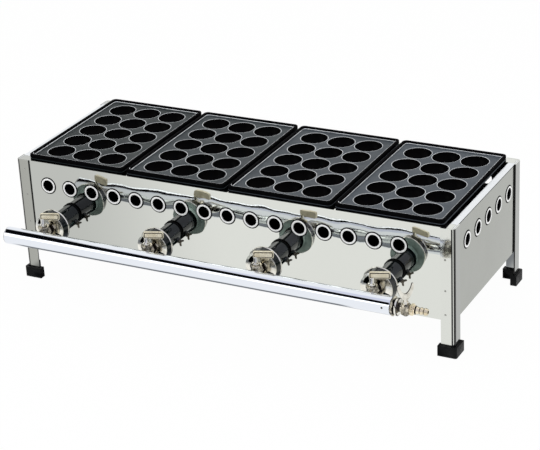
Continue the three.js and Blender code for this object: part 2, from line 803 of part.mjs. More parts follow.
function makeMainBody() {
  const spigot = alongX(rod(bushThread, bushNeck, mainBodyStart + seatGap, smallSides));
  const barrel = alongX(rod(mainBodyRadius, mainBodyStart, mainBodyEnd, smallSides));
  const [bottom, top] = [mainHousingBottom - pipeZ, mainHousingTop - pipeZ];
  const housing = rod(mainHousingRadius, bottom, top, discSides).translate(mainPlugX, 0, 0);
  const plugHole = rod(mainPlugRadius + plugGap, bottom - cutOverrun, top + cutOverrun, smallSides)
    .translate(mainPlugX, 0, 0);
  const passage = alongX(rod(barbBore, bushNeck - cutOverrun, mainBodyEnd, boreSides));
  const outlet = alongX(rod(
    barbRoot + seatGap, mainBodyEnd - barbRootLength - seatGap, mainBodyEnd + cutOverrun, smallSides));
  return onPipe(cut(joined(spigot, barrel, housing), plugHole, passage, outlet));
}

// Butterfly handle on its plug: two wings rise from the stem. The plug's gas way runs the
// way the wings do, and the cock stands half open.
function makeMainLever() {
  const bottom = mainHousingBottom - seatGap;
  const collar = mainHousingTop + seatGap;
  const plug = turned([
    [0, bottom - mainNutHeight], [mainStemRadius, bottom - mainNutHeight], [mainStemRadius, bottom],
    [mainPlugRadius, bottom], [mainPlugRadius, collar + mainNutHeight],
    [mainStemRadius, collar + mainNutHeight + seatGap], [mainStemRadius, mainHubTop], [0, mainHubTop],
  ], smallSides);
  const [outer, tip, shoulder] = [mainWingSpan, mainWingWidth / 2, mainStemRadius / 2];
  const dip = mainHubTop + shoulder;
  const wings = new THREE.Shape();
  wings.moveTo(mainStemRadius, mainBladeBottom);
  wings.quadraticCurveTo(outer - shoulder, mainHubTop - shoulder, outer, mainWingTop - mainStemRadius);
  wings.lineTo(outer - shoulder, mainWingTop);
  wings.lineTo(outer - tip - shoulder, mainWingTop);
  wings.quadraticCurveTo(outer / 2, dip, 0, mainHubTop);
  wings.quadraticCurveTo(-outer / 2, dip, tip + shoulder - outer, mainWingTop);
  wings.lineTo(shoulder - outer, mainWingTop);
  wings.lineTo(-outer, mainWingTop - mainStemRadius);
  wings.quadraticCurveTo(shoulder - outer, mainHubTop - shoulder, -mainStemRadius, mainBladeBottom);
  const blade = turn(
    raised(wings, -mainWingThickness / 2, mainWingThickness / 2, bladeSteps), 'x', Math.PI / 2);
  const way = alongX(rod(barbBore, -mainPlugRadius - cutOverrun, mainPlugRadius + cutOverrun, boreSides))
    .translate(0, 0, pipeZ);
  return turn(cut(plug.add(blade), way), 'z', mainTurn).translate(mainPlugX, pipeY, 0);
}

function makeHoseBarb() {
  const start = mainBodyEnd + seatGap;
  const collar = start + barbHexLength;
  const rings = collar + barbCollarLength;
  const ringPitch = (start + barbLength - rings) / barbRingCount;
  const root = mainBodyEnd - barbRootLength;
  const profile = [
    [barbBore, root], [barbRoot, root], [barbRoot, collar], [barbCollarRadius, collar],
    [barbCollarRadius, rings], [barbGroove, rings],
  ];
  for (const ring of range(barbRingCount)) {
    const x = rings + ring * ringPitch;
    profile.push([barbRadius, x + ringPitch * barbTopShare], [barbGroove, x + ringPitch]);
  }
  profile.push([barbBore, start + barbLength]);
  const stem = alongX(turned([...profile, profile[0]], smallSides));
  const hexagon = alongX(rod(barbHexRadius, start, collar, hexSides));
  const bore = alongX(rod(barbBore, start - cutOverrun, rings, smallSides));
  return onPipe(cut(stem.add(hexagon), bore));
}

addPiece('pipe_end_bush', makeEndBush(), nickel);
addPiece('main_cock_body', makeMainBody(), brass);
addPiece('main_cock_lever', makeMainLever(), nickel);
addPiece('hose_barb', makeHoseBarb(), brass);

// Bar across the box, under the rear ends of the burners' arms
function makeRestBar() {
  const [front, top] = [cornerY - barInset, headBottom - seatGap];
  return joined(
    block([-insideX, front, top - barSteel], [insideX, front + barArm, top]),
    block([-insideX, front, top - barArm], [insideX, front + barSteel, top]),
  );
}

addPiece('burner_rest_bar', makeRestBar(), steel);

// The outline's middle on the floor becomes the origin
const middle = new THREE.Box3().setFromObject(model).getCenter(new THREE.Vector3());
model.position.set(-middle.x, -middle.y, 0);

export default model;
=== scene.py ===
import json
import bmesh
import bpy
from math import asin, cos, pi, radians, sin
from mathutils import Matrix, Vector
from mathutils.geometry import tessellate_polygon


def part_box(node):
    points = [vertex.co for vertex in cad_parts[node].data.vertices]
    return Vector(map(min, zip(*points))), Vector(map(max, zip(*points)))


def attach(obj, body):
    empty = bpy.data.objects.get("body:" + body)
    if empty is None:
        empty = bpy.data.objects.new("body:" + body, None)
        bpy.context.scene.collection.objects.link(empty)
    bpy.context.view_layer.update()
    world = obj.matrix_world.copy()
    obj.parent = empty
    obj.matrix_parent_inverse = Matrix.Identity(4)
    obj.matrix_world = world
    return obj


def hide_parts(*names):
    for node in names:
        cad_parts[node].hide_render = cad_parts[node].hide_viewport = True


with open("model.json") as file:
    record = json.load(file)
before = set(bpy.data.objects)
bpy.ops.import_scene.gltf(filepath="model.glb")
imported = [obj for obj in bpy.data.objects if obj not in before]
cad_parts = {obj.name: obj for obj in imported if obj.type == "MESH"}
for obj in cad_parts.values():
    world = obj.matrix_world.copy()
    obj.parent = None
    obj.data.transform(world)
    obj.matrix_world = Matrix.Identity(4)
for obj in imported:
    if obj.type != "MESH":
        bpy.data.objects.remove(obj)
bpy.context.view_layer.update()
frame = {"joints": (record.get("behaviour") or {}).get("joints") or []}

# Everything is written in millimetres from the box's middle, with the floor at 0. The
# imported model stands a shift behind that.
MM = 0.001
SHIFT = sum(corner.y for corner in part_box("bottom_pan")) / 2 / MM


def ends(node):
    """Lowest and highest corner of a CAD node."""
    return [corner / MM - Vector((0, SHIFT, 0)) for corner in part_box(node)]


def middle(node):
    low, high = ends(node)
    return (low + high) / 2


def joint_point(joint):
    """A point on a joint's axis."""
    place = next(j["pos_m"] for j in frame["joints"] if j["name"] == joint)
    return Vector(place) / MM - Vector((0, SHIFT, 0))


def spread(count, first, last):
    """Evenly spaced numbers."""
    return [first + (last - first) * i / (count - 1) for i in range(count)]


# Box
SHEET, GAP = 1.5, 0.3
LEG_ARM, LEG_T, LEG_BEND, LEG_STEPS, LEG_START = 22, 2, 5.2, 7, 3.3
LEG_LOW, LEG_HIGH = ends("leg_front_right")
WELD_DOTS = {"right": (157, 107, 68), "left": (192, 148, 100, 66)}
FOOT_WALL, FOOT_SOLE, FOOT_TOP = 4.2, 3, 17
W, D, TOP = 2 * LEG_HIGH.x, -2 * LEG_LOW.y, LEG_HIGH.z
PANEL_LOW = ends("front_panel")[0].z
PANEL_X, PANEL_Y = ends("front_panel")[1].x, ends("back_panel")[1].y
INNER_X = PANEL_X - SHEET - GAP
SIDE_HALF = PANEL_Y - SHEET - GAP
SEAT_FLANGE, SIDE_FLANGE, SHADE_LINE = 16, 11, 1.3
SIDE_FLANGE_HALF = PANEL_Y - SEAT_FLANGE - GAP
PAN_WALL = 1
VENT_R, VENT_RIM, VENT_RISE, VENT_Z = 9.5, 12.4, 1.2, TOP - 39
VENT_SHADE_R = VENT_RIM + 1.9
FRONT_VENTS = spread(16, 55.4 - W / 2, W / 2 - 87.1)
SIDE_VENTS = spread(5, 56 - D / 2, D / 2 - 48)

# Plates
PLATES = [middle(f"plate_{i}").x for i in (1, 2, 3, 4)]
HW, HD = (ends("plate_1")[1] - middle("plate_1")).xy
RIM = ends("plate_1")[1].z
FACE = RIM - 3.4
UNDER = FACE - 4
TRAY_INSET, UNDER_INSET = 6.6, 5
CUP_R, CUP_D, CUP_PITCH = 21.9, 20.0, 47.5
CUP_LIP, CUP_INSIDE, CUP_OUTSIDE, CUP_WALL = CUP_R + 0.95, CUP_R - 0.05, 23.5, 3.2
CUP_SEG, CUP_BANDS, CUP_OUTER_BANDS = 48, 14, 8
SPHERE = (CUP_R ** 2 + CUP_D ** 2) / (2 * CUP_D)
SPHERE_Z = FACE - CUP_D + SPHERE
CUPS = [(x * CUP_PITCH, y * CUP_PITCH) for x in (-1, 0, 1) for y in (-2, -1, 0, 1, 2)]

# Burners and cocks
BURNERS = [middle(f"mixer_cup_{i}").x for i in (1, 2, 3, 4)]
GAS_Z = middle("mixer_cup_1").z
TUBE_R = 15.5
SCREW_Y, SCREW_TURN = -149.5, 0.5
ARMS, ARM_FRONT, ARM_REAR, PORTS = (-48, 0, 48), -62.2, 96, spread(9, -52, 88)
MIX_FRONT = ends("air_shutter_1")[1].y + GAP
MIX_REAR = MIX_FRONT + 13.5
COCK_Y = joint_point("cock_turn_1").y
TAB_HALF_LENGTH, TAB_HALF_WIDTH, TAB_Z, TAB_TURN = 30.6 / 2, 5.25, 154.75, 0.35

# Pipe. The bush, the main cock and the barb lie on its axis, one after another.
PIPE_LOW, PIPE_HIGH = ends("manifold_pipe")
PIPE_L, PIPE_END = PIPE_LOW.x, PIPE_HIGH.x
PIPE_Y, PIPE_Z = middle("manifold_pipe").yz
PIPE_R, PIPE_BORE = (PIPE_HIGH.z - PIPE_LOW.z) / 2, 10.9
MAIN_X = joint_point("main_cock_turn").x
MAIN_TURN = 0.81
BUSH = PIPE_END + GAP
BUSH_NECK, BUSH_COLLAR, BUSH_END = BUSH + 4.6, BUSH + 6.1, BUSH + 10.8
BODY = BUSH_END + 1.9
BODY_END = 2 * MAIN_X - BODY
BARB = BODY_END + GAP
BARB_COLLAR, BARB_RINGS, BARB_END = BARB + 5.4, BARB + 7.6, BARB + 26.5


# Mesh helpers
def shift(x=0, y=0, z=0):
    return Matrix.Translation((x, y, z))


def rot(angle, axis):
    return Matrix.Rotation(angle, 4, axis)


def scaled(m):
    """A millimetre placement as a metre one."""
    out = m.copy()
    out.translation *= MM
    return out


def upright(verts):
    """From a flat drawing to one that stands: its height becomes depth."""
    return [(x, z, y) for x, y, z in verts]


def facing(verts):
    """From a flat drawing seen from the front to the real place: Y up becomes Z up."""
    return [(x, -z, y) for x, y, z in verts]


def triangles(loops):
    flat = [[Vector((x, y, 0)) for x, y in loop] for loop in loops]
    return [list(t) for t in tessellate_polygon(flat)]


def cut_sheet(outline, holes, z):
    """A flat sheet with holes and without thickness."""
    loops = [outline] + holes
    return [(x, y, z) for loop in loops for x, y in loop], triangles(loops)


def slab(outline, holes, low, high, mats=(0, 0, 0), pose=list):
    """A flat plate with holes, in X and Y, between two heights. mats has the material numbers of
    its low side, its high side and its walls, and pose is a turn of its points."""
    loops = [outline] + list(holes)
    flat = [p for loop in loops for p in loop]
    tris = triangles(loops)
    n = len(flat)
    verts = [(x, y, low) for x, y in flat] + [(x, y, high) for x, y in flat]
    faces = tris + [[i + n for i in reversed(t)] for t in tris]
    start = 0
    for loop in loops:
        m = len(loop)
        for k in range(m):
            a, b = start + k, start + (k + 1) % m
            faces.append([a, b, b + n, a + n])
        start += m
    walls = mats[2] if isinstance(mats[2], list) else [mats[2]] * n
    return pose(verts), faces, [mats[0]] * len(tris) + [mats[1]] * len(tris) + walls


def lathe(profile, seg, mats=0, closed=False, axis="z"):
    """A profile of (radius, height) points turned about an axis. mats is one material number, or
    one for each strip."""
    rings, verts = [], []
    for r, z in profile:
        if r < 1e-6:
            rings.append([len(verts)] * seg)
            verts.append((0, 0, z))
        else:
            rings.append(list(range(len(verts), len(verts) + seg)))
            verts += [(r * cos(2 * pi * k / seg), r * sin(2 * pi * k / seg), z) for k in range(seg)]
    faces, face_mats = [], []
    n = len(rings)
    for j in range(n if closed else n - 1):
        a, b = rings[j], rings[(j + 1) % n]
        for k in range(seg):
            face = []
            for i in (a[k], a[(k + 1) % seg], b[(k + 1) % seg], b[k]):
                if i not in face:
                    face.append(i)
            if len(face) > 2:
                faces.append(face)
                face_mats.append(mats if isinstance(mats, int) else mats[j])
    if axis == "y":
        verts = [(x, z, -y) for x, y, z in verts]
    if axis == "x":
        verts = [(z, y, -x) for x, y, z in verts]
    return verts, faces, face_mats


def box(low, high):
    x0, y0, z0 = low
    x1, y1, z1 = high
    base = ((x0, y0), (x1, y0), (x1, y1), (x0, y1))
    faces = [[0, 3, 2, 1], [4, 5, 6, 7], [0, 1, 5, 4], [1, 2, 6, 5], [2, 3, 7, 6], [3, 0, 4, 7]]
    return [(x, y, z) for z in (z0, z1) for x, y in base], faces


def ring(r, seg, at=(0, 0)):
    turns = [2 * pi * k / seg for k in range(seg)]
    return [(at[0] + r * cos(a), at[1] + r * sin(a)) for a in turns]


def rounded(hw, hd, r, steps, at=(0, 0)):
    """A rectangle with round corners."""
    corners = ((hw - r, hd - r), (r - hw, hd - r), (r - hw, r - hd), (hw - r, r - hd))
    out = []
    for quarter, (cx, cy) in enumerate(corners):
        for k in range(steps + 1):
            a = radians(90 * quarter + 90 * k / steps)
            out.append((at[0] + cx + r * cos(a), at[1] + cy + r * sin(a)))
    return out


def hexagon(radius):
    return [(radius * cos(pi / 3 * k), radius * sin(pi / 3 * k)) for k in range(6)]


def apply_modifiers(obj):
    graph = bpy.context.evaluated_depsgraph_get()
    mesh = bpy.data.meshes.new_from_object(obj.evaluated_get(graph))
    obj.modifiers.clear()
    obj.data = mesh
    mesh.name = obj.name


def weld(mesh):
    bm = bmesh.new()
    bm.from_mesh(mesh)
    bmesh.ops.remove_doubles(bm, verts=bm.verts, dist=1e-6)
    bmesh.ops.recalc_face_normals(bm, faces=bm.faces)
    bm.to_mesh(mesh)
    bm.free()


class Build:
    """Collects vertices and faces of several closed bodies for one piece."""

    def __init__(self):
        self.verts, self.faces, self.mats = [], [], []

    def add(self, verts, faces, mats=0, move=Matrix()):
        """mats is one material number, or one for each face."""
        base = len(self.verts)
        self.verts += [tuple(move @ Vector(v)) for v in verts]
        self.faces += [[base + i for i in face] for face in faces]
        self.mats += [mats] * len(faces) if isinstance(mats, int) else mats

    def make(self, name, mats, replaces, body="base", at=(0, 0, 0), turn=Matrix(), bevel=0,
             bevel_segments=2, sharp=38):
        """Makes the piece. Weighted normals keep its flat faces flat beside soft edges."""
        mesh = bpy.data.meshes.new(name)
        place = Matrix.Translation(Vector((at[0], at[1] + SHIFT, at[2])) * MM) @ turn
        mesh.from_pydata([place @ (Vector(v) * MM) for v in self.verts], [], self.faces)
        for mat in mats:
            mesh.materials.append(mat)
        mesh.polygons.foreach_set("material_index", self.mats)
        obj = bpy.data.objects.new(name, mesh)
        bpy.context.scene.collection.objects.link(obj)
        weld(mesh)
        if bevel:
            mod = obj.modifiers.new("edge", "BEVEL")
            mod.width = bevel * MM
            mod.segments = bevel_segments
            mod.limit_method = "ANGLE"
            mod.angle_limit = radians(34)
            mod.use_clamp_overlap = True
            apply_modifiers(obj)
        obj.data.polygons.foreach_set("use_smooth", [True] * len(obj.data.polygons))
        obj.data.set_sharp_from_angle(angle=radians(sharp))
        mod = obj.modifiers.new("flat faces", "WEIGHTED_NORMAL")
        mod.keep_sharp = True
        mod.weight = 100
        apply_modifiers(obj)
        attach(obj, body)
        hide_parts(replaces)


# Shader nodes
def ramp_between(nt, value, start, end, low=0.0, high=1.0, kind="SMOOTHSTEP"):
    """A step of a value, from low at start to high at end."""
    r = nt.nodes.new("ShaderNodeMapRange")
    r.interpolation_type = kind
    r.inputs["From Min"].default_value = start
    r.inputs["From Max"].default_value = end
    r.inputs["To Min"].default_value = low
    r.inputs["To Max"].default_value = high
    nt.links.new(value, r.inputs["Value"])
    return r.outputs["Result"]


def math_node(nt, operation, *values):
    """A sum on values, each a number or a socket."""
    n = nt.nodes.new("ShaderNodeMath")
    n.operation = operation
    for socket, value in zip(n.inputs, values):
        if isinstance(value, float):
            socket.default_value = value
        else:
            nt.links.new(value, socket)
    return n.outputs[0]


def product(nt, *values):
    out = values[0]
    for value in values[1:]:
        out = math_node(nt, "MULTIPLY", out, value)
    return out


def blended(nt, factor, a, b):
    """A colour between two others, each a colour or a socket."""
    n = nt.nodes.new("ShaderNodeMix")
    n.data_type = "RGBA"
    nt.links.new(factor, n.inputs["Factor"])
    for socket, value in ((n.inputs["A"], a), (n.inputs["B"], b)):
        if isinstance(value, tuple):
            socket.default_value = value
        else:
            nt.links.new(value, socket)
    return n.outputs["Result"]


def axes_of(nt, vector):
    n = nt.nodes.new("ShaderNodeSeparateXYZ")
    nt.links.new(vector, n.inputs[0])
    return n.outputs


def mixed(nt, factor, first, second):
    """A shader between two others."""
    n = nt.nodes.new("ShaderNodeMixShader")
    for socket, value in zip(n.inputs, (factor, first, second)):
        nt.links.new(value, socket)
    return n.outputs[0]


# Colours and materials
def col(r, g, b):
    """A screen colour from 0 to 255 as a linear one."""
    parts = [c / 255 for c in (r, g, b)]
    return (*[c / 12.92 if c <= 0.04045 else ((c + 0.055) / 1.055) ** 2.4 for c in parts], 1.0)


COAT_ROUGH, WAVE_HEIGHT, BUMP_HEIGHT = 0.05, 0.004, 0.0004


def material(name, color, metallic, rough, rough_spread, dark=None, shade_left=None, bump=None,
             wave=None, stretch=(1, 1, 1), spec=0.5, coat=0.0):
    """A metal or a coat. rough_spread is how far its roughness varies: amount, noise scale. dark is
    a second colour in blotches: colour, noise scale, amount. shade_left is painted shade: a colour
    that fades out along X: colour, start, end. bump and wave are fine and broad unevenness:
    strength, scale."""
    m = bpy.data.materials.new(name)
    m.use_nodes = True
    nt = m.node_tree
    shader = nt.nodes["Principled BSDF"]
    shader.inputs["Base Color"].default_value = col(*color)
    shader.inputs["Metallic"].default_value = metallic
    shader.inputs["Roughness"].default_value = rough
    shader.inputs["Specular IOR Level"].default_value = spec
    shader.inputs["Coat Weight"].default_value = coat
    shader.inputs["Coat Roughness"].default_value = COAT_ROUGH
    place = nt.nodes.new("ShaderNodeTexCoord").outputs["Object"]
    mapping = nt.nodes.new("ShaderNodeMapping")
    mapping.inputs["Scale"].default_value = stretch
    nt.links.new(place, mapping.inputs["Vector"])
    stretched = mapping.outputs["Vector"]

    def noise(scale, detail, vector):
        n = nt.nodes.new("ShaderNodeTexNoise")
        n.inputs["Scale"].default_value = scale
        n.inputs["Detail"].default_value = detail
        nt.links.new(vector, n.inputs["Vector"])
        return n.outputs["Fac"]

    amount, scale = rough_spread
    least, most = max(0.02, rough - amount), min(1.0, rough + amount)
    uneven = ramp_between(nt, noise(scale, 4.0, stretched), 0.3, 0.7, least, most, "LINEAR")
    nt.links.new(uneven, shader.inputs["Roughness"])
    if dark:
        dark_color, scale, amount = dark
        blotch = ramp_between(nt, noise(scale, 6.0, stretched), 0.35, 0.72, 0, amount, "LINEAR")
        nt.links.new(blended(nt, blotch, col(*color), col(*dark_color)), shader.inputs["Base Color"])
    if shade_left:
        left_color, start, end = shade_left
        fade = ramp_between(nt, axes_of(nt, place)["X"], start * MM, end * MM)
        nt.links.new(blended(nt, fade, col(*left_color), col(*color)), shader.inputs["Base Color"])
    normal = None
    for relief, height, vector in ((wave, WAVE_HEIGHT, place), (bump, BUMP_HEIGHT, stretched)):
        if relief:
            strength, scale = relief
            n = nt.nodes.new("ShaderNodeBump")
            n.inputs["Strength"].default_value = strength
            n.inputs["Distance"].default_value = height
            nt.links.new(noise(scale, 2.0, vector), n.inputs["Height"])
            if normal:
                nt.links.new(normal, n.inputs["Normal"])
            normal = n.outputs["Normal"]
    nt.links.new(normal, shader.inputs["Normal"])
    return m


GRAIN_UP = (12, 12, 1)
# The front steel is painted darker towards the left: painted shade.
STEEL = material("steel_front", (219, 221, 215), 1, 0.03, (0.01, 60), bump=(0.02, 300), wave=(0.8, 8),
                 shade_left=((187, 189, 184), -300, 20))
# A darker copy of the steel for the side panels and the pan's underside: painted shade.
SHADED_STEEL = material("steel_side_painted_shade", (160, 162, 156), 1, 0.12, (0.03, 60), dark=((152, 154, 148), 9, 0.5),
                bump=(0.03, 260), wave=(0.25, 8))
# A darker copy of the legs' steel for their side faces: painted shade.
LEG_SIDE_SHADED = material("steel_leg_side_painted_shade", (160, 162, 159), 1, 0.12, (0.03, 70), bump=(0.03, 280),
                    stretch=GRAIN_UP)
# The legs' front faces are painted darker on the left: painted shade.
LEG_FACE = material("steel_leg", (218, 220, 214), 1, 0.07, (0.02, 70), bump=(0.03, 280),
                    stretch=GRAIN_UP, shade_left=((166, 167, 161), -370, -200))
# Black for a painted dark reflection on the legs' polished bends and painted shade on their cut edges.
BEND_SHADE = material("steel_bend_painted_shade", (20, 20, 20), 0.3, 0.3, (0.06, 120), dark=((10, 10, 10), 60, 0.5),
                bump=(0.05, 300))
WELD = material("spot_weld", (168, 169, 163), 0.8, 0.35, (0.06, 300), dark=((120, 120, 116), 260, 0.6),
                bump=(0.2, 900))
# A lighter copy of the steel: painted highlight on the side panels' top flange and top edge.
TOP_HIGHLIGHT = material("steel_top_painted_highlight", (234, 237, 240), 1, 0.15, (0.04, 80), bump=(0.04, 300))
# A white, less metallic copy of the steel: painted highlight on the vents' collars.
COLLAR_HIGHLIGHT = material("steel_collar_painted_highlight", (250, 250, 248), 0.3, 0.4, (0.05, 200), bump=(0.04, 500))
# Black for painted shade round the vents' collars, under the side panels' tops and round the tubes.
SHADE_BLACK = material("steel_painted_shade", (5, 5, 5), 0, 0.6, (0.08, 200), bump=(0.1, 500), spec=0.05)
CHROME = material("chrome_pipe", (232, 236, 243), 1, 0.03, (0.01, 40), bump=(0.01, 200))
NICKEL = material("nickel", (242, 240, 231), 1, 0.1, (0.04, 120), dark=((150, 144, 128), 90, 0.6),
                  bump=(0.15, 500))
NICKEL_WARM = material("nickel_warm", (240, 229, 203), 1, 0.14, (0.04, 120),
                       dark=((186, 164, 124), 90, 0.5), bump=(0.1, 500))
NICKEL_DARK = material("nickel_dark", (96, 92, 84), 1, 0.25, (0.08, 120), dark=((30, 27, 22), 80, 0.7),
                       bump=(0.15, 500))
COCK = material("cock_nickel", (212, 205, 188), 1, 0.16, (0.05, 150), dark=((10, 8, 7), 130, 1.2),
                bump=(0.3, 500))
TAB = material("lever_nickel", (226, 219, 196), 0.3, 0.45, (0.06, 150),
               dark=((186, 172, 138), 110, 0.6), bump=(0.15, 700))
ENAMEL = material("burner_coat", (8, 16, 18), 0, 0.15, (0.05, 60), dark=((3, 6, 7), 30, 0.7),
                  bump=(0.05, 500), coat=0.4, spec=0.2)
# A paler copy of the burner coat for the tubes' undersides: painted reflection.
ENAMEL_LIT_UNDERSIDE = material("burner_coat_painted_reflection", (60, 88, 86), 0.2, 0.22, (0.05, 60),
                       dark=((8, 16, 16), 55, 1.0), bump=(0.05, 500), coat=0.7)
# A pale copy of the burner coat for the mixer cups' rear faces, toward the mirror panel: painted light.
MIXER_REAR_LIT = material("mixer_rear_painted_light", (180, 198, 192), 0, 0.35, (0.05, 60), dark=((86, 102, 98), 50, 0.8),
                      bump=(0.05, 500), coat=0.3)
CAST = material("cast_black", (5, 5, 6), 0, 0.65, (0.08, 90), dark=((12, 12, 13), 40, 0.5),
                bump=(0.4, 1400), spec=0.01)
# The plates' grounds, left to right: each is a little lighter than the one before. These are
# lit copies of one cast iron: painted light, as the right plates reflect a brighter part of the studio.
LIT_GROUNDS = [((24, 34, 36), (18, 26, 28)), ((43, 51, 55), (33, 40, 44)), ((60, 67, 73), (48, 53, 58)),
           ((69, 76, 83), (57, 63, 69))]
TRAYS = [material(f"cast_ground_lit_{i}", ground, 0.35, 0.42, (0.06, 60), dark=(worn, 16, 0.6),
                  bump=(0.2, 1800), spec=0.18) for i, (ground, worn) in enumerate(LIT_GROUNDS, 1)]
CUP = material("cup_seasoned", (2, 2, 3), 0, 0.45, (0.1, 60), dark=((8, 5, 4), 60, 0.5), bump=(0.2, 900),
               spec=0.03)
# A pale edge colour, partly wear and partly painted highlight, for the plates' rim lines and cup lips.
WEAR_AND_HIGHLIGHT = material("worn_edge_and_highlight", (236, 239, 241), 0.6, 0.35, (0.08, 200), dark=((150, 154, 158), 100, 0.6),
                bump=(0.1, 900))
RUBBER = material("rubber", (9, 10, 11), 0, 0.5, (0.08, 80), dark=((16, 17, 18), 60, 0.5),
                  bump=(0.3, 1200), spec=0.12)
# A dark copy of the steel: painted shade for the box's inside.
INNER_SHADE = material("inner_sheet_painted_shade", (26, 25, 24), 0.3, 0.6, (0.1, 40), dark=((12, 12, 12), 20, 0.6),
                  bump=(0.2, 500), spec=0.3)
# Dark brown: grease, the nozzle's dark brass, and painted shade in fittings' hollows and lever edges.
GREASE_AND_SHADE = material("grease_and_painted_shade", (34, 26, 20), 0.3, 0.3, (0.1, 150), dark=((12, 9, 7), 120, 0.6),
                  bump=(0.2, 900))


# Box panels: a sheet with vents, a collar round each vent, and a folded flange. The inner
# side and the vents' walls carry painted shade for the box's dark inside.
ON_SHEET, ON_COLLAR_LIT, ON_SHADE, ON_INNER_SHADE, ON_TOP_HIGHLIGHT = range(5)


def collars(build, places):
    profile = [(VENT_R, SHEET + 0.1), (VENT_R, 0.3 - VENT_RISE), (VENT_R + 0.4, -VENT_RISE),
               (VENT_RIM - 0.4, -VENT_RISE), (VENT_RIM, 0.3 - VENT_RISE), (VENT_RIM, -0.1),
               (VENT_SHADE_R, -0.03), (VENT_SHADE_R, 0.3), (VENT_R + 0.7, 0.3),
               (VENT_R + 0.7, SHEET + 0.1)]
    # Bands: the hole's wall and back in painted inner shade, the collar in painted highlight, the ring
    # round it in painted shade.
    bands = [ON_INNER_SHADE] + [ON_COLLAR_LIT] * 3 + [ON_SHADE] * 4 + [ON_INNER_SHADE] * 2
    for x in places:
        build.add(*lathe(profile, 40, bands, closed=True, axis="y"), shift(x, 0, VENT_Z))


def panel(name, half, vents, flange, flange_half, mat, at, turn=Matrix(), holes=(), shade_line=0.0):
    """A panel seen from outside. shade_line is the height of a painted shadow line under its top edge;
    with it, the top flange and the top edge take the painted highlight.
    """
    build = Build()
    outline = [(-half, PANEL_LOW), (half, PANEL_LOW), (half, TOP), (-half, TOP)]
    cuts = [ring(VENT_R + 0.5, 40, (x, VENT_Z)) for x in vents]
    cuts += [ring(r, 56, (x, z)) for x, z, r in holes]
    build.add(*slab(outline, cuts, 0, SHEET, (ON_SHEET, ON_INNER_SHADE, ON_SHEET), upright))
    collars(build, vents)
    build.add(*box((-flange_half, SHEET - 0.01, TOP - SHEET), (flange_half, flange, TOP)),
              ON_TOP_HIGHLIGHT if shade_line else ON_SHEET)
    if shade_line:
        line = box((-flange_half, -0.03, TOP - 0.4 - shade_line), (flange_half, 0.2, TOP - 0.4))
        build.add(*line, ON_SHADE)
        build.add(*box((-half, -0.02, TOP - 0.5), (half, SHEET, TOP + 0.02)), ON_TOP_HIGHLIGHT)
    build.make(f"{name}_skin", [mat, COLLAR_HIGHLIGHT, SHADE_BLACK, INNER_SHADE, TOP_HIGHLIGHT], replaces=name, at=at,
               turn=turn, sharp=30)


panel("front_panel", PANEL_X, FRONT_VENTS, SEAT_FLANGE, INNER_X, STEEL,
      (0, -PANEL_Y, 0), holes=[(x, GAS_Z, TUBE_R + 0.4) for x in BURNERS])
panel("back_panel", PANEL_X, FRONT_VENTS, SEAT_FLANGE, INNER_X, STEEL,
      (0, PANEL_Y, 0), rot(pi, "Z"))
for side, name in ((1, "right_side_panel"), (-1, "left_side_panel")):
    panel(name, SIDE_HALF, [y * side for y in SIDE_VENTS], SIDE_FLANGE, SIDE_FLANGE_HALF,
          SHADED_STEEL, (side * PANEL_X, 0, 0), rot(side * pi / 2, "Z"), shade_line=SHADE_LINE)

# The bottom pan: its inner side takes the painted shade of the box's inside.
PAN_LOW, PAN_HIGH = ends("bottom_pan")
pan_outline = rounded(PAN_HIGH.x, PAN_HIGH.y, 1.2, 3)
pan_inner = rounded(PAN_HIGH.x - PAN_WALL, PAN_HIGH.y - PAN_WALL, 0.5, 3)
b = Build()
b.add(*slab(pan_outline, [], PAN_LOW.z, PAN_LOW.z + PAN_WALL, (0, 1, 0)))
b.add(*slab(pan_outline, [pan_inner], PAN_LOW.z + PAN_WALL, PAN_HIGH.z, (1, 1, 1)))
b.make("bottom_pan_skin", [SHADED_STEEL, INNER_SHADE], replaces="bottom_pan")


# Legs and feet
def angle(arm, t, bend, dx=0.0, steps=5, inner=None):
    """An angle bar's section: outer corner at the origin, arms along -X and +Y."""
    turns = [pi / 2 * k / steps for k in range(1, steps + 1)]
    pts = [(-arm, 0), (-bend, 0)]
    pts += [(-bend + bend * sin(a), bend - bend * cos(a)) for a in turns]
    pts += [(0, arm), (-t, arm)]
    inner = inner or max(0.3, bend - t)
    pts += [(-t, t + inner), (-t - inner * 0.3, t + inner * 0.3), (-t - inner, t), (-arm, t)]
    return [(x + dx, y - dx) for x, y in pts]


LEG_MAIN, LEG_SHADE, LEG_DOT, LEG_OUTER = range(4)
GLINT_STEP = 3


def leg_walls(count):
    """Materials of a leg's walls: those round its bend carry a painted dark reflection but for one,
    left plain as a glint, then comes its side. The arms' cut edges carry painted shade.
    """
    walls = [LEG_MAIN] * count
    for k in range(1, LEG_STEPS + 1):
        walls[k] = LEG_MAIN if k == GLINT_STEP else LEG_SHADE
    walls[LEG_STEPS + 1] = LEG_OUTER
    walls[LEG_STEPS + 2] = walls[-1] = LEG_SHADE
    return walls


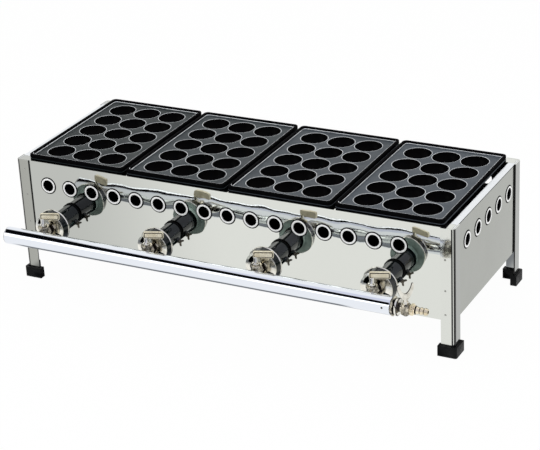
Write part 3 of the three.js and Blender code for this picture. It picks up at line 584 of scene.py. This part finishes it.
def leg(depth_name, depth, side_name, side):
    """A leg and its foot, drawn for the front right corner and mirrored to their own."""
    corner = Matrix.Diagonal((side, -depth, 1, 1)) @ shift(W / 2, -D / 2, 0)
    b = Build()
    section = angle(LEG_ARM, LEG_T, LEG_BEND, steps=LEG_STEPS, inner=0.4)
    mats = (LEG_MAIN, LEG_MAIN, leg_walls(len(section)))
    b.add(*slab(section, [], LEG_START, TOP, mats), corner)
    dot = lathe([(0, 0.2), (0.9, 0.16), (1.7, 0.02), (1.7, -0.6), (0, -0.6)], 20, LEG_DOT)
    for z in WELD_DOTS[side_name]:
        b.add(*dot, corner @ shift(-14.5, 0, z) @ rot(pi / 2, "X"))
    b.make(f"leg_skin_{depth_name}_{side_name}", [LEG_FACE, BEND_SHADE, WELD, LEG_SIDE_SHADED],
           replaces=f"leg_{depth_name}_{side_name}")

    b = Build()
    outer = angle(LEG_ARM + 2 * FOOT_WALL, LEG_T + 2 * FOOT_WALL, 3.4, FOOT_WALL)
    inner = angle(LEG_ARM + 0.6, LEG_T + 0.6, 1.6, GAP)
    b.add(*slab(outer, [], 0, FOOT_SOLE), corner)
    b.add(*slab(outer, [inner], FOOT_SOLE, FOOT_TOP), corner)
    b.make(f"foot_skin_{depth_name}_{side_name}", [RUBBER],
           replaces=f"foot_{depth_name}_{side_name}", bevel=1.1, bevel_segments=3)


for depth_name, depth in (("front", -1), ("rear", 1)):
    for side_name, side in (("left", -1), ("right", 1)):
        leg(depth_name, depth, side_name, side)


# Plates
GROUND, BLACK, BOWL, WORN_AND_LIT = range(4)

# Rim and skirt: loops of one rounded outline, from the tray up and over to the underside. Each has
# its inset, height and corner radius. Then come the materials of the strips between them.
RIM_LOOPS = [(TRAY_INSET, FACE, 5.2), (6.1, FACE + 0.2, 5.3), (5.7, FACE + 0.9, 5.4),
             (4.7, RIM - 0.3, 5.6), (4.4, RIM - 0.04, 5.7), (3.9, RIM, 5.8), (1.1, RIM, 6.6),
             (0.35, RIM - 0.3, 6.8), (0.0, RIM - 1.1, 7.0), (0.0, 210.6, 7.0), (0.8, 209.9, 6.8),
             (0.8, 209.3, 6.8), (0.0, 208.6, 7.0), (0.15, TOP + GAP, 7.0), (4.6, TOP + GAP, 5.0),
             (UNDER_INSET, UNDER, 5.0)]
# The skirt's groove has one strip in the ground colour: a painted highlight line.
RIM_STRIPS = [BLACK, WORN_AND_LIT, BLACK, BLACK, WORN_AND_LIT] + [BLACK] * 6 + [GROUND] + [BLACK] * 3
CREST, REAR_REACH = 4, 12


def rim():
    """The crest's inner edge takes the pale edge colour, partly wear and partly a painted highlight;
    at the rear, where no highlight shows, it stays black.
    """
    loops = [[(x, y, z) for x, y in rounded(HW - inset, HD - inset, r, 8)] for inset, z, r in RIM_LOOPS]
    m = len(loops[0])
    faces, mats = [], []
    for j in range(len(loops) - 1):
        for k in range(m):
            faces.append([j * m + k, j * m + (k + 1) % m, (j + 1) * m + (k + 1) % m, (j + 1) * m + k])
            rear = loops[j][k][1] > HD - REAR_REACH
            mats.append(BLACK if j == CREST and rear else RIM_STRIPS[j])
    return [p for loop in loops for p in loop], faces, mats


def cup_inside():
    """From the lip, pale with wear and painted highlight, down to the middle of the bowl."""
    profile = [(CUP_LIP, FACE), (CUP_R + 0.2, FACE - 0.12), (CUP_INSIDE, FACE - 0.75)]
    half = asin(CUP_R / SPHERE)
    for k in range(1, CUP_BANDS + 1):
        a = half * (1 - k / CUP_BANDS)
        z = min(FACE - 0.75, SPHERE_Z - SPHERE * cos(a)) - 0.02 * k
        profile.append((SPHERE * sin(a) * CUP_INSIDE / CUP_R, z))
    return lathe(profile, CUP_SEG, [WORN_AND_LIT] + [BOWL] * (CUP_BANDS + 1))


def cup_outside():
    """The cup's wall that hangs below the plate."""
    r = SPHERE + CUP_WALL
    half = asin(CUP_OUTSIDE / r)
    turns = [half * (1 - k / CUP_OUTER_BANDS) for k in range(CUP_OUTER_BANDS + 1)]
    profile = [(CUP_OUTSIDE, UNDER)] + [(r * sin(a), SPHERE_Z - r * cos(a)) for a in turns]
    return lathe(profile, CUP_SEG, BLACK)


def plate(i, x0):
    b = Build()
    tray = rounded(HW - TRAY_INSET, HD - TRAY_INSET, 5.2, 8)
    b.add(*cut_sheet(tray, [ring(CUP_LIP, CUP_SEG, p) for p in CUPS], FACE), GROUND)
    inner = rounded(HW - UNDER_INSET, HD - UNDER_INSET, 5, 8)
    verts, faces = cut_sheet(inner, [ring(CUP_OUTSIDE, CUP_SEG, p) for p in CUPS], UNDER)
    b.add(verts, [face[::-1] for face in faces], BLACK)
    for cup in (cup_inside(), cup_outside()):
        for x, y in CUPS:
            b.add(*cup, shift(x, y, 0))
    b.add(*rim())
    b.make(f"plate_skin_{i}", [TRAYS[i - 1], CAST, CUP, WEAR_AND_HIGHLIGHT], body=f"plate_{i}",
           replaces=f"plate_{i}", at=(x0, 0, 0), sharp=50)


for i, x in enumerate(PLATES, 1):
    plate(i, x)


# Burners
AT_GAS = shift(0, 0, GAS_Z)


def radial(r, y):
    """Takes +Z of a small part to the screw's direction on the tube, right and down."""
    return shift(0, y, GAS_Z) @ rot(pi / 2 + SCREW_TURN, "Y") @ shift(0, 0, r)


def burner(i, x0):
    """Mixing tube, cross box and flame arms. The tube's underside takes a paler copy of the coat:
    painted reflection.
    """
    b = Build()
    tube = [(12.5, -190), (13.0, -190.4), (15.0, -190.4), (TUBE_R, -190), (TUBE_R, -176),
            (15.9, -175.4), (15.9, -172.6), (TUBE_R, -172), (TUBE_R, -120), (17.5, -77), (12.5, -77),
            (12.5, -189)]
    verts, faces, mats = lathe(tube, 56, closed=True, axis="y")
    low = [sum(verts[k][2] for k in face) / len(face) < -TUBE_R / 3 for face in faces]
    b.add(verts, faces, [2 if is_low else 0 for is_low in low], AT_GAS)
    b.add(*box((-59, -92, GAS_Z - TUBE_R), (59, -62, 152)))
    section = [(-11, 130), (11, 130), (11, 147), (6, 152), (-6, 152), (-11, 147)]
    port = [(0, 155), (2.4, 155), (3.4, 154.2), (4.2, 151), (0, 151)]
    for x in ARMS:
        b.add(*slab(section, [], ARM_FRONT, ARM_REAR, pose=upright), shift(x, 0, 0))
        for y in PORTS:
            b.add(*lathe(port, 20), shift(x, y, 0))
    rib = box((13.5, -180, -1.5), (TUBE_R + 2.6, -137.2, 1.5))
    b.add(*rib, 0, AT_GAS @ rot(0.78, "Y"))
    boss = [(2.3, -2), (4.4, -2), (4.6, 2.2), (4.2, 3.0), (2.3, 3.0)]
    b.add(*lathe(boss, 28, closed=True), radial(TUBE_R, SCREW_Y))
    # Black sleeve where the tube enters the panel: painted shade of the gap round the tube
    sleeve = [(15.4, -140.4), (16.5, -140.1), (16.9, -139.4), (16.9, -138.2), (16.5, -137.5),
              (15.4, -137.2)]
    b.add(*lathe(sleeve, 56, 1, closed=True, axis="y"), AT_GAS)
    b.make(f"burner_skin_{i}", [ENAMEL, SHADE_BLACK, ENAMEL_LIT_UNDERSIDE],
           replaces=f"burner_{i}", at=(x0, 0, 0), bevel=0.5)


def wing_screw(i, x0):
    b = Build()
    b.add(*lathe([(0, -6), (2, -6), (2, 3.2), (3.4, 3.2), (3.4, 4.8), (2.9, 5.6), (0, 5.6)], 24))
    right_wing = [(4.6, 1.1), (6.3, 3.2), (6.2, 5.0), (4.6, 5.2), (2.6, 3.6)]
    left_wing = [(-x, z) for x, z in reversed(right_wing)]
    wings = [(-1.7, 0), (1.7, 0)] + right_wing + [(0, 2.6)] + left_wing
    b.add(*slab(wings, [], -0.8, 0.8, pose=facing), shift(0, 0, 5.2))
    b.make(f"screw_skin_{i}", [NICKEL_DARK], body=f"burner_screw_{i}",
           replaces=f"burner_screw_{i}", at=(x0, 0, 0), turn=scaled(radial(TUBE_R, SCREW_Y)), bevel=0.25)


def sector(r0, r1, mid, half, steps=10):
    """A piece of a ring, for an air window."""
    turns = [2 * half * k / steps for k in range(steps + 1)]
    outer = [(r1 * cos(mid - half + a), r1 * sin(mid - half + a)) for a in turns]
    inner = [(r0 * cos(mid + half - a), r0 * sin(mid + half - a)) for a in turns]
    return outer + inner


WINDOW_ANGLE = 2.5
WINDOWS = [sector(12.2, 22.0, WINDOW_ANGLE + turn, 0.35) for turn in (0, pi)]


def mixer(i, x0):
    """The cup on the tube's mouth, its air shutter, and the nozzle in its hub."""
    b = Build()
    front_wall = [ring(6, 32)] + WINDOWS
    b.add(*slab(ring(25, 64), front_wall, -MIX_FRONT - 1.5, -MIX_FRONT, pose=facing), AT_GAS)
    side = [(24.9, MIX_FRONT + 0.1), (25.0, MIX_FRONT), (25.5, MIX_FRONT + 0.4), (27.2, MIX_REAR - 2.6),
            (27.7, MIX_REAR - 2.2), (28.0, MIX_REAR - 1.6), (28.0, MIX_REAR - 0.6), (27.6, MIX_REAR),
            (17.8, MIX_REAR), (17.8, MIX_REAR + 7), (15.8, MIX_REAR + 7), (15.8, MIX_REAR - 1.5),
            (26.2, MIX_REAR - 1.5), (25.2, MIX_REAR - 3.6), (23.5, MIX_FRONT + 1.5),
            (23.5, MIX_FRONT + 0.1)]
    # The rear face takes the pale coat: painted light.
    bands = [0] * 3 + [1] * 4 + [3] * 2 + [0] * 7
    b.add(*lathe(side, 64, bands, closed=True, axis="y"), AT_GAS)
    hub = [(6, MIX_FRONT + 1.5), (8, MIX_FRONT + 1.0), (8, MIX_FRONT - 1.9), (7.6, MIX_FRONT - 2.1),
           (6.4, MIX_FRONT - 2.1), (6, MIX_FRONT - 1.9)]
    b.add(*lathe(hub, 40, 2, closed=True, axis="y"), AT_GAS)
    b.make(f"mixer_skin_{i}", [ENAMEL, NICKEL, GREASE_AND_SHADE, MIXER_REAR_LIT],
           replaces=f"mixer_cup_{i}", at=(x0, 0, 0))

    b = Build()
    front = -MIX_FRONT + GAP
    b.add(*slab(ring(25.4, 72), [ring(8.3, 40)] + WINDOWS, front, front + 1.5, pose=facing), AT_GAS)
    b.make(f"shutter_skin_{i}", [NICKEL], body=f"air_shutter_{i}",
           replaces=f"air_shutter_{i}", at=(x0, 0, 0), bevel=0.3)

    b = Build()
    nozzle = [(0.9, -210.4), (3, -210.4), (3, -206.7), (5.2, -206.7), (5.7, -206.2), (5.7, -200),
              (5.2, -199.5), (3.2, -196), (1.6, -194), (0.9, -194)]
    b.add(*lathe(nozzle, 24, closed=True, axis="y"), AT_GAS)
    b.make(f"nozzle_skin_{i}", [GREASE_AND_SHADE], replaces=f"nozzle_{i}", at=(x0, 0, 0))


def cock(i, x0):
    """A gas cock, then its lever: a plug, a stem, and a tab with a frame, a groove and a face."""
    b = Build()
    body = [(5.9, 115), (7.6, 115), (8, 115.5), (8, 133.5), (8.4, 134.2), (9, 135.5), (9, 138),
            (8.5, 138.5), (5.9, 138.5)]
    b.add(*lathe(body, 40, closed=True))
    outlet = [(2.4, -11.6), (5.2, -11.6), (5.4, -11.3), (5.4, -5.5), (2.4, -5.5)]
    b.add(*lathe(outlet, 36, closed=True, axis="y"), AT_GAS)
    b.add(*slab(hexagon(6.9), [ring(3.3, 24)], -10.4, -5.5, pose=facing), AT_GAS)
    b.make(f"cock_skin_{i}", [COCK], replaces=f"cock_body_{i}", at=(x0, COCK_Y, 0),
           bevel=0.3)

    b = Build()
    plug = [(0, 111.7), (5.9, 111.7), (6.4, 112.2), (6.4, 114.3), (5.9, 114.7), (4.6, 114.7),
            (5.6, 138.5), (5.6, 141.5), (3.6, 142.6), (3.4, 147), (3.7, 150), (3.7, 151.5), (0, 151.5)]
    b.add(*lathe(plug, 32, [0] * 4 + [1] * 8))
    for inset, back, front, mat in ((0, -1.7, 1.7, 2), (1.0, 0, 1.9, 3), (2.2, 0, 2.3, 2)):
        tab = rounded(TAB_HALF_LENGTH - inset, TAB_HALF_WIDTH - inset, 2.2 - inset * 0.4, 5,
                      (TAB_HALF_LENGTH - 3.6, 0))
        verts, faces, mats = slab(tab, [], back, front, (mat, mat, mat), facing)
        b.add([(x, y, z + TAB_Z) for x, y, z in verts], faces, mats, rot(TAB_TURN, "Z"))
    b.make(f"lever_skin_{i}", [COCK, NICKEL, TAB, GREASE_AND_SHADE], body=f"cock_lever_{i}",
           replaces=f"cock_lever_{i}", at=(x0, COCK_Y, 0))


for i, x in enumerate(BURNERS, 1):
    burner(i, x)
    wing_screw(i, x)
    mixer(i, x)
    cock(i, x)


# Pipe and its ends
ON_PIPE = (0, PIPE_Y, PIPE_Z)


def nut(radius, start, end, bore, cut=0.9):
    """A hexagon across the pipe's axis, its corners cut round."""
    six = hexagon(radius)
    small = [(x * cut, y * cut) for x, y in six]
    slope = (end - start) * 0.16
    levels = [(start, small), (start + slope, six), (end - slope, six), (end, small)]
    verts = [(x, y, z) for x, loop in levels for y, z in loop]
    verts += [(x, y, z) for x in (start, end) for y, z in ring(bore, 6)]
    sides = [(k, (k + 1) % 6) for k in range(6)]
    faces = [[j * 6 + p, j * 6 + q, j * 6 + 6 + q, j * 6 + 6 + p] for j in range(3) for p, q in sides]
    faces += [[p, 24 + p, 24 + q, q] for p, q in sides]
    faces += [[18 + p, 18 + q, 30 + q, 30 + p] for p, q in sides]
    faces += [[24 + p, 30 + p, 30 + q, 24 + q] for p, q in sides]
    return verts, faces


b = Build()
pipe = [(PIPE_BORE, PIPE_L), (12.4, PIPE_L), (13.2, PIPE_L + 0.5), (PIPE_R, PIPE_L + 1.4),
        (PIPE_R, PIPE_L + 2.2), (PIPE_R, PIPE_END - 1.2), (PIPE_R, PIPE_END - 0.5), (13.2, PIPE_END),
        (PIPE_BORE, PIPE_END)]
b.add(*lathe(pipe, 72, [0, 1, 1, 0, 0, 0, 0, 0, 0], closed=True, axis="x"))
grub_screw = lathe([(0, 0.25), (1.2, 0.25), (1.6, 0), (1.6, -0.6), (0, -0.6)], 20, 1)
b.add(*grub_screw, shift(PIPE_END - 11, -PIPE_R, 1) @ rot(pi / 2, "X"))
b.make("pipe_skin", [CHROME, GREASE_AND_SHADE], replaces="manifold_pipe", at=ON_PIPE)

b = Build()
plug = [(0, PIPE_L + 0.3), (9.6, PIPE_L + 0.3), (10.5, PIPE_L + 1.0), (10.6, PIPE_L + 12),
        (0, PIPE_L + 12)]
b.add(*lathe(plug, 48, axis="x"))
b.make("plug_skin", [CHROME], replaces="pipe_end_plug", at=ON_PIPE)

b = Build()
bush = [(4, PIPE_END - 9), (10.6, PIPE_END - 9), (10.6, BUSH), (10.9, BUSH + 0.2), (10.9, BUSH_NECK),
        (10.4, BUSH_NECK + 0.2), (10.4, BUSH_COLLAR), (12.6, BUSH_COLLAR), (13.2, BUSH_COLLAR + 0.7),
        (13.2, BUSH_END - 1.4), (12.2, BUSH_END), (6.9, BUSH_END), (6.9, PIPE_END + 2),
        (4, PIPE_END + 2)]
# The neck beside the collar, the end chamfer and the inner bore are dark: painted shade.
b.add(*lathe(bush, 56, [0] * 4 + [1] * 4 + [0, 1, 0, 0, 1, 1], closed=True, axis="x"))
b.add(*nut(14.6, BUSH, BUSH_NECK, 10.5), 2)
b.make("bush_skin", [NICKEL, GREASE_AND_SHADE, COCK], replaces="pipe_end_bush", at=ON_PIPE)

b = Build()
# The short neck in the gap between bush and body is dark: painted shade.
neck = [(2.6, BUSH_NECK), (6.6, BUSH_NECK), (6.6, BODY + 0.2), (2.6, BODY + 0.2)]
b.add(*lathe(neck, 40, 1, closed=True, axis="x"))
body = [(2.6, BODY), (6.0, BODY), (6.6, BODY + 0.6), (6.6, BODY_END - 0.6), (6.0, BODY_END),
        (2.6, BODY_END)]
b.add(*lathe(body, 40, closed=True, axis="x"))
plug_seat = [(4.9, -8.5), (6.8, -8.5), (7.3, -8.0), (7.3, 5.0), (7.0, 5.5), (7.3, 6.0), (6.8, 7),
             (4.9, 7)]
b.add(*lathe(plug_seat, 40, closed=True), shift(MAIN_X, 0, 0))
b.make("main_cock_skin", [COCK, GREASE_AND_SHADE], replaces="main_cock_body", at=ON_PIPE)


def curve(points, steps=8):
    """Points along a quadratic curve, without its first one."""
    (x0, y0), (x1, y1), (x2, y2) = points
    out = []
    for k in range(1, steps + 1):
        t = k / steps
        first, second, third = (1 - t) ** 2, 2 * t * (1 - t), t * t
        out.append((first * x0 + second * x1 + third * x2, first * y0 + second * y1 + third * y2))
    return out


b = Build()
turned = shift(MAIN_X) @ rot(MAIN_TURN, "Z")
stem = [(0, -11.4), (3.2, -11.4), (3.6, -11.0), (3.6, -8.8), (4.6, -8.8), (4.6, 9.9), (3.6, 10.4),
        (3.4, 20), (3.0, 23), (0, 23)]
b.add(*lathe(stem, 32, [1] * 4 + [0] * 5), turned)
right_wing = [(3.6, 14)] + curve(((3.6, 14), (11.2, 21.2), (13, 34.4)))
right_wing += [(12.6, 36.6), (11.2, 38), (9.6, 37.6)] + curve(((9.6, 37.6), (6.5, 24.8), (0, 23)))
wings = right_wing + [(-x, z) for x, z in reversed(right_wing)][1:]
# The wings' edges are dark: painted shade.
b.add(*slab(wings, [], -1.3, 1.3, (0, 0, 1), facing), turned)
b.make("main_lever_skin", [NICKEL, GREASE_AND_SHADE], body="main_cock_lever",
       replaces="main_cock_lever", at=ON_PIPE, bevel=0.45)

b = Build()
pitch = (BARB_END - BARB_RINGS) / 3
profile = [(2.6, BODY_END - 2.3), (4, BODY_END - 2.3), (4, BARB_COLLAR), (6.5, BARB_COLLAR),
           (7, BARB_COLLAR + 0.4), (7, BARB_RINGS - 0.4), (6.5, BARB_RINGS), (4.3, BARB_RINGS)]
bands = [1, 0, 0, 0, 0, 0, 1, 1]
for k in range(3):
    x = BARB_RINGS + k * pitch
    profile += [(5.4, x + pitch * 0.24), (5.7, x + pitch / 3), (5.5, x + pitch * 0.45),
                (4.3, x + pitch * 0.98)]
    bands += [0, 0, 0, 1]
profile += [(4.1, BARB_END), (2.6, BARB_END)]
bands += [0, 1]
# The collar's rear face, the roots between the rings and the bore are dark: painted shade.
b.add(*lathe(profile, 40, bands, closed=True, axis="x"))
b.add(*nut(8.8, BARB, BARB_COLLAR, 3.9))
b.make("barb_skin", [NICKEL_WARM, GREASE_AND_SHADE], replaces="hose_barb", at=ON_PIPE)

# Angle bar inside, under the burners' rear ends, in the painted shade of the box's inside
BAR_LOW, BAR_HIGH = ends("burner_rest_bar")
b = Build()
b.add(*box((BAR_LOW.x, BAR_LOW.y, BAR_HIGH.z - 2), BAR_HIGH))
b.add(*box(BAR_LOW, (BAR_HIGH.x, BAR_LOW.y + 2, BAR_HIGH.z - 1.99)))
b.make("rest_bar_skin", [INNER_SHADE], replaces="burner_rest_bar", bevel=0.4)


# Floor, background and light. Camera rays see plain white. Mirrored rays see a white floor
# that is shaded under the box and under the pipe, and a white sky with a soft box in front,
# a dark strip above that and a lavender ceiling.
WHITE, DARK, LAVENDER = (1, 1, 1, 1), (0.002, 0.002, 0.003, 1), col(222, 223, 238)
SOFT_BOX = (2.2, 2.2, 2.2, 1)
SKY_LIGHT, SKY_STRENGTH = (0.97, 0.98, 1, 1), 0.75
FLOOR_HALF, FLOOR_PAINT, FLOOR_SEEN = 4, (0.82, 0.82, 0.81, 1), 0.975
SHADE_EDGE, SHADED = 40, (0.25, 0.26, 0.29, 1)
SHADE_FRONT = 40
PIPE_SHADE_X, PIPE_SHADE_Y = (-385, 205), (PIPE_Y + SHIFT - 22, PIPE_Y + SHIFT + 90)
PIPE_SOFT, PIPE_SHADED = 15, (0.2, 0.21, 0.22, 1)
# The strip is the plane of directions that the dark line along the pipe reflects
STRIP_NORMAL, STRIP_HALF = (0.783, 0.159, 0.601), 0.12


def floor_nodes(nt):
    ray = nt.nodes.new("ShaderNodeLightPath").outputs
    axes = axes_of(nt, nt.nodes.new("ShaderNodeTexCoord").outputs["Object"])
    under_box = [ray["Is Glossy Ray"]]
    for along, half, mid in (("X", W / 2, 0), ("Y", D / 2, SHIFT)):
        for side in (-1, 1):
            edge = mid + side * half - (SHADE_FRONT if (along, side) == ("Y", -1) else 0)
            limits = sorted((edge * MM, (edge - side * SHADE_EDGE) * MM))
            levels = (0, 1) if side < 0 else (1, 0)
            under_box.append(ramp_between(nt, axes[along], *limits, *levels))
    under_pipe = [ray["Is Glossy Ray"]]
    for along, shade in (("X", PIPE_SHADE_X), ("Y", PIPE_SHADE_Y)):
        for edge, levels in zip(shade, ((0, 1), (1, 0))):
            limits = ((edge - PIPE_SOFT) * MM, (edge + PIPE_SOFT) * MM)
            under_pipe.append(ramp_between(nt, axes[along], *limits, *levels))
    shaded = blended(nt, product(nt, *under_box), WHITE, SHADED)
    glow = nt.nodes.new("ShaderNodeEmission")
    nt.links.new(blended(nt, product(nt, *under_pipe), shaded, PIPE_SHADED), glow.inputs["Color"])
    diffuse = nt.nodes.new("ShaderNodeBsdfDiffuse")
    diffuse.inputs["Color"].default_value = FLOOR_PAINT
    seen = math_node(nt, "MAXIMUM", ray["Is Camera Ray"], ray["Is Glossy Ray"])
    part = math_node(nt, "MULTIPLY", seen, FLOOR_SEEN)
    surface = mixed(nt, part, diffuse.outputs[0], glow.outputs[0])
    nt.links.new(surface, nt.nodes.new("ShaderNodeOutputMaterial").inputs["Surface"])


def background(nt, color, strength=1.0):
    n = nt.nodes.new("ShaderNodeBackground")
    n.inputs["Strength"].default_value = strength
    if isinstance(color, tuple):
        n.inputs["Color"].default_value = color
    else:
        nt.links.new(color, n.inputs["Color"])
    return n.outputs[0]


def world_nodes(nt):
    ray = nt.nodes.new("ShaderNodeLightPath").outputs
    direction = nt.nodes.new("ShaderNodeTexCoord").outputs["Generated"]
    axes = axes_of(nt, direction)
    dot = nt.nodes.new("ShaderNodeVectorMath")
    dot.operation = "DOT_PRODUCT"
    dot.inputs[1].default_value = STRIP_NORMAL
    nt.links.new(direction, dot.inputs[0])
    across = dot.outputs["Value"]
    away = math_node(nt, "ABSOLUTE", across)
    strip = product(nt, ramp_between(nt, away, STRIP_HALF * 0.9, STRIP_HALF * 1.1, 1, 0),
                    ramp_between(nt, axes["Y"], 0.2, 0.35, 1, 0))
    ceiling = product(nt, ramp_between(nt, across, 0, STRIP_HALF * 2),
                      ramp_between(nt, axes["Y"], -0.1, 0.15, 1, 0))
    sky = blended(nt, ceiling, WHITE, LAVENDER)
    soft_box = product(nt, ramp_between(nt, axes["Z"], 0.2, 0.32),
                       ramp_between(nt, across, -STRIP_HALF * 1.6, -STRIP_HALF * 1.1, 1, 0),
                       ramp_between(nt, axes["Y"], -0.5, -0.4, 1, 0))
    mirrored = background(nt, blended(nt, strip, blended(nt, soft_box, sky, SOFT_BOX), DARK))
    light = background(nt, SKY_LIGHT, SKY_STRENGTH)
    unseen = mixed(nt, ray["Is Glossy Ray"], light, mirrored)
    surface = mixed(nt, ray["Is Camera Ray"], unseen, background(nt, WHITE))
    nt.links.new(surface, nt.nodes.new("ShaderNodeOutputWorld").inputs["Surface"])


def lamp(name, at, to, size, power, color=(1, 1, 1)):
    data = bpy.data.lights.new(name, "AREA")
    data.shape = "RECTANGLE"
    data.size, data.size_y = size
    data.energy = power
    data.color = color
    obj = bpy.data.objects.new(name, data)
    obj.location = at
    obj.rotation_euler = (Vector(to) - Vector(at)).to_track_quat("-Z", "Y").to_euler()
    obj.visible_glossy = False
    bpy.context.scene.collection.objects.link(obj)


scene = bpy.context.scene
mesh = bpy.data.meshes.new("floor")
floor_corners = [(x * FLOOR_HALF, y * FLOOR_HALF, 0) for x, y in ((-1, -1), (1, -1), (1, 1), (-1, 1))]
mesh.from_pydata(floor_corners, [], [[0, 1, 2, 3]])
floor = bpy.data.objects.new("floor", mesh)
paint = bpy.data.materials.new("floor")
paint.use_nodes = True
paint.node_tree.nodes.clear()
floor_nodes(paint.node_tree)
mesh.materials.append(paint)
scene.collection.objects.link(floor)

world = bpy.data.worlds.new("studio")
scene.world = world
world.use_nodes = True
world.node_tree.nodes.clear()
world_nodes(world.node_tree)

MIDDLE = (0, 0, 0.1)
lamp("key", (-1.2, -1.6, 2.2), MIDDLE, (2.2, 1.4), 20)
lamp("top", (0.3, 0.6, 2.4), MIDDLE, (2.4, 1.6), 16, (0.96, 0.98, 1.0))
lamp("fill", (2.2, -0.6, 1.2), MIDDLE, (1.4, 1.4), 8)

# Camera: solved from the photograph's edges and cup grid
IMAGE_WIDTH, FOCAL_PIXELS, SENSOR_WIDTH = 540, 1828.3, 36
CAMERA_AT = (1253.4, -2342.4 + SHIFT, 1314.9)
CAMERA_RIGHT, CAMERA_BACK = (0.8914, 0.4510, -0.0468), (0.4275, -0.8016, 0.418)
cam = bpy.data.cameras.new("camera")
cam.sensor_fit = "HORIZONTAL"
cam.sensor_width = SENSOR_WIDTH
cam.lens = FOCAL_PIXELS / IMAGE_WIDTH * SENSOR_WIDTH
cam.clip_end = 50
camera = bpy.data.objects.new("camera", cam)
right = Vector(CAMERA_RIGHT).normalized()
back = Vector(CAMERA_BACK)
back = (back - right * back.dot(right)).normalized()
up = back.cross(right)
view = Matrix((right, up, back)).transposed().to_4x4()
view.translation = Vector(CAMERA_AT) * MM
camera.matrix_world = view
scene.collection.objects.link(camera)
scene.camera = camera
scene.view_settings.view_transform = "Standard"
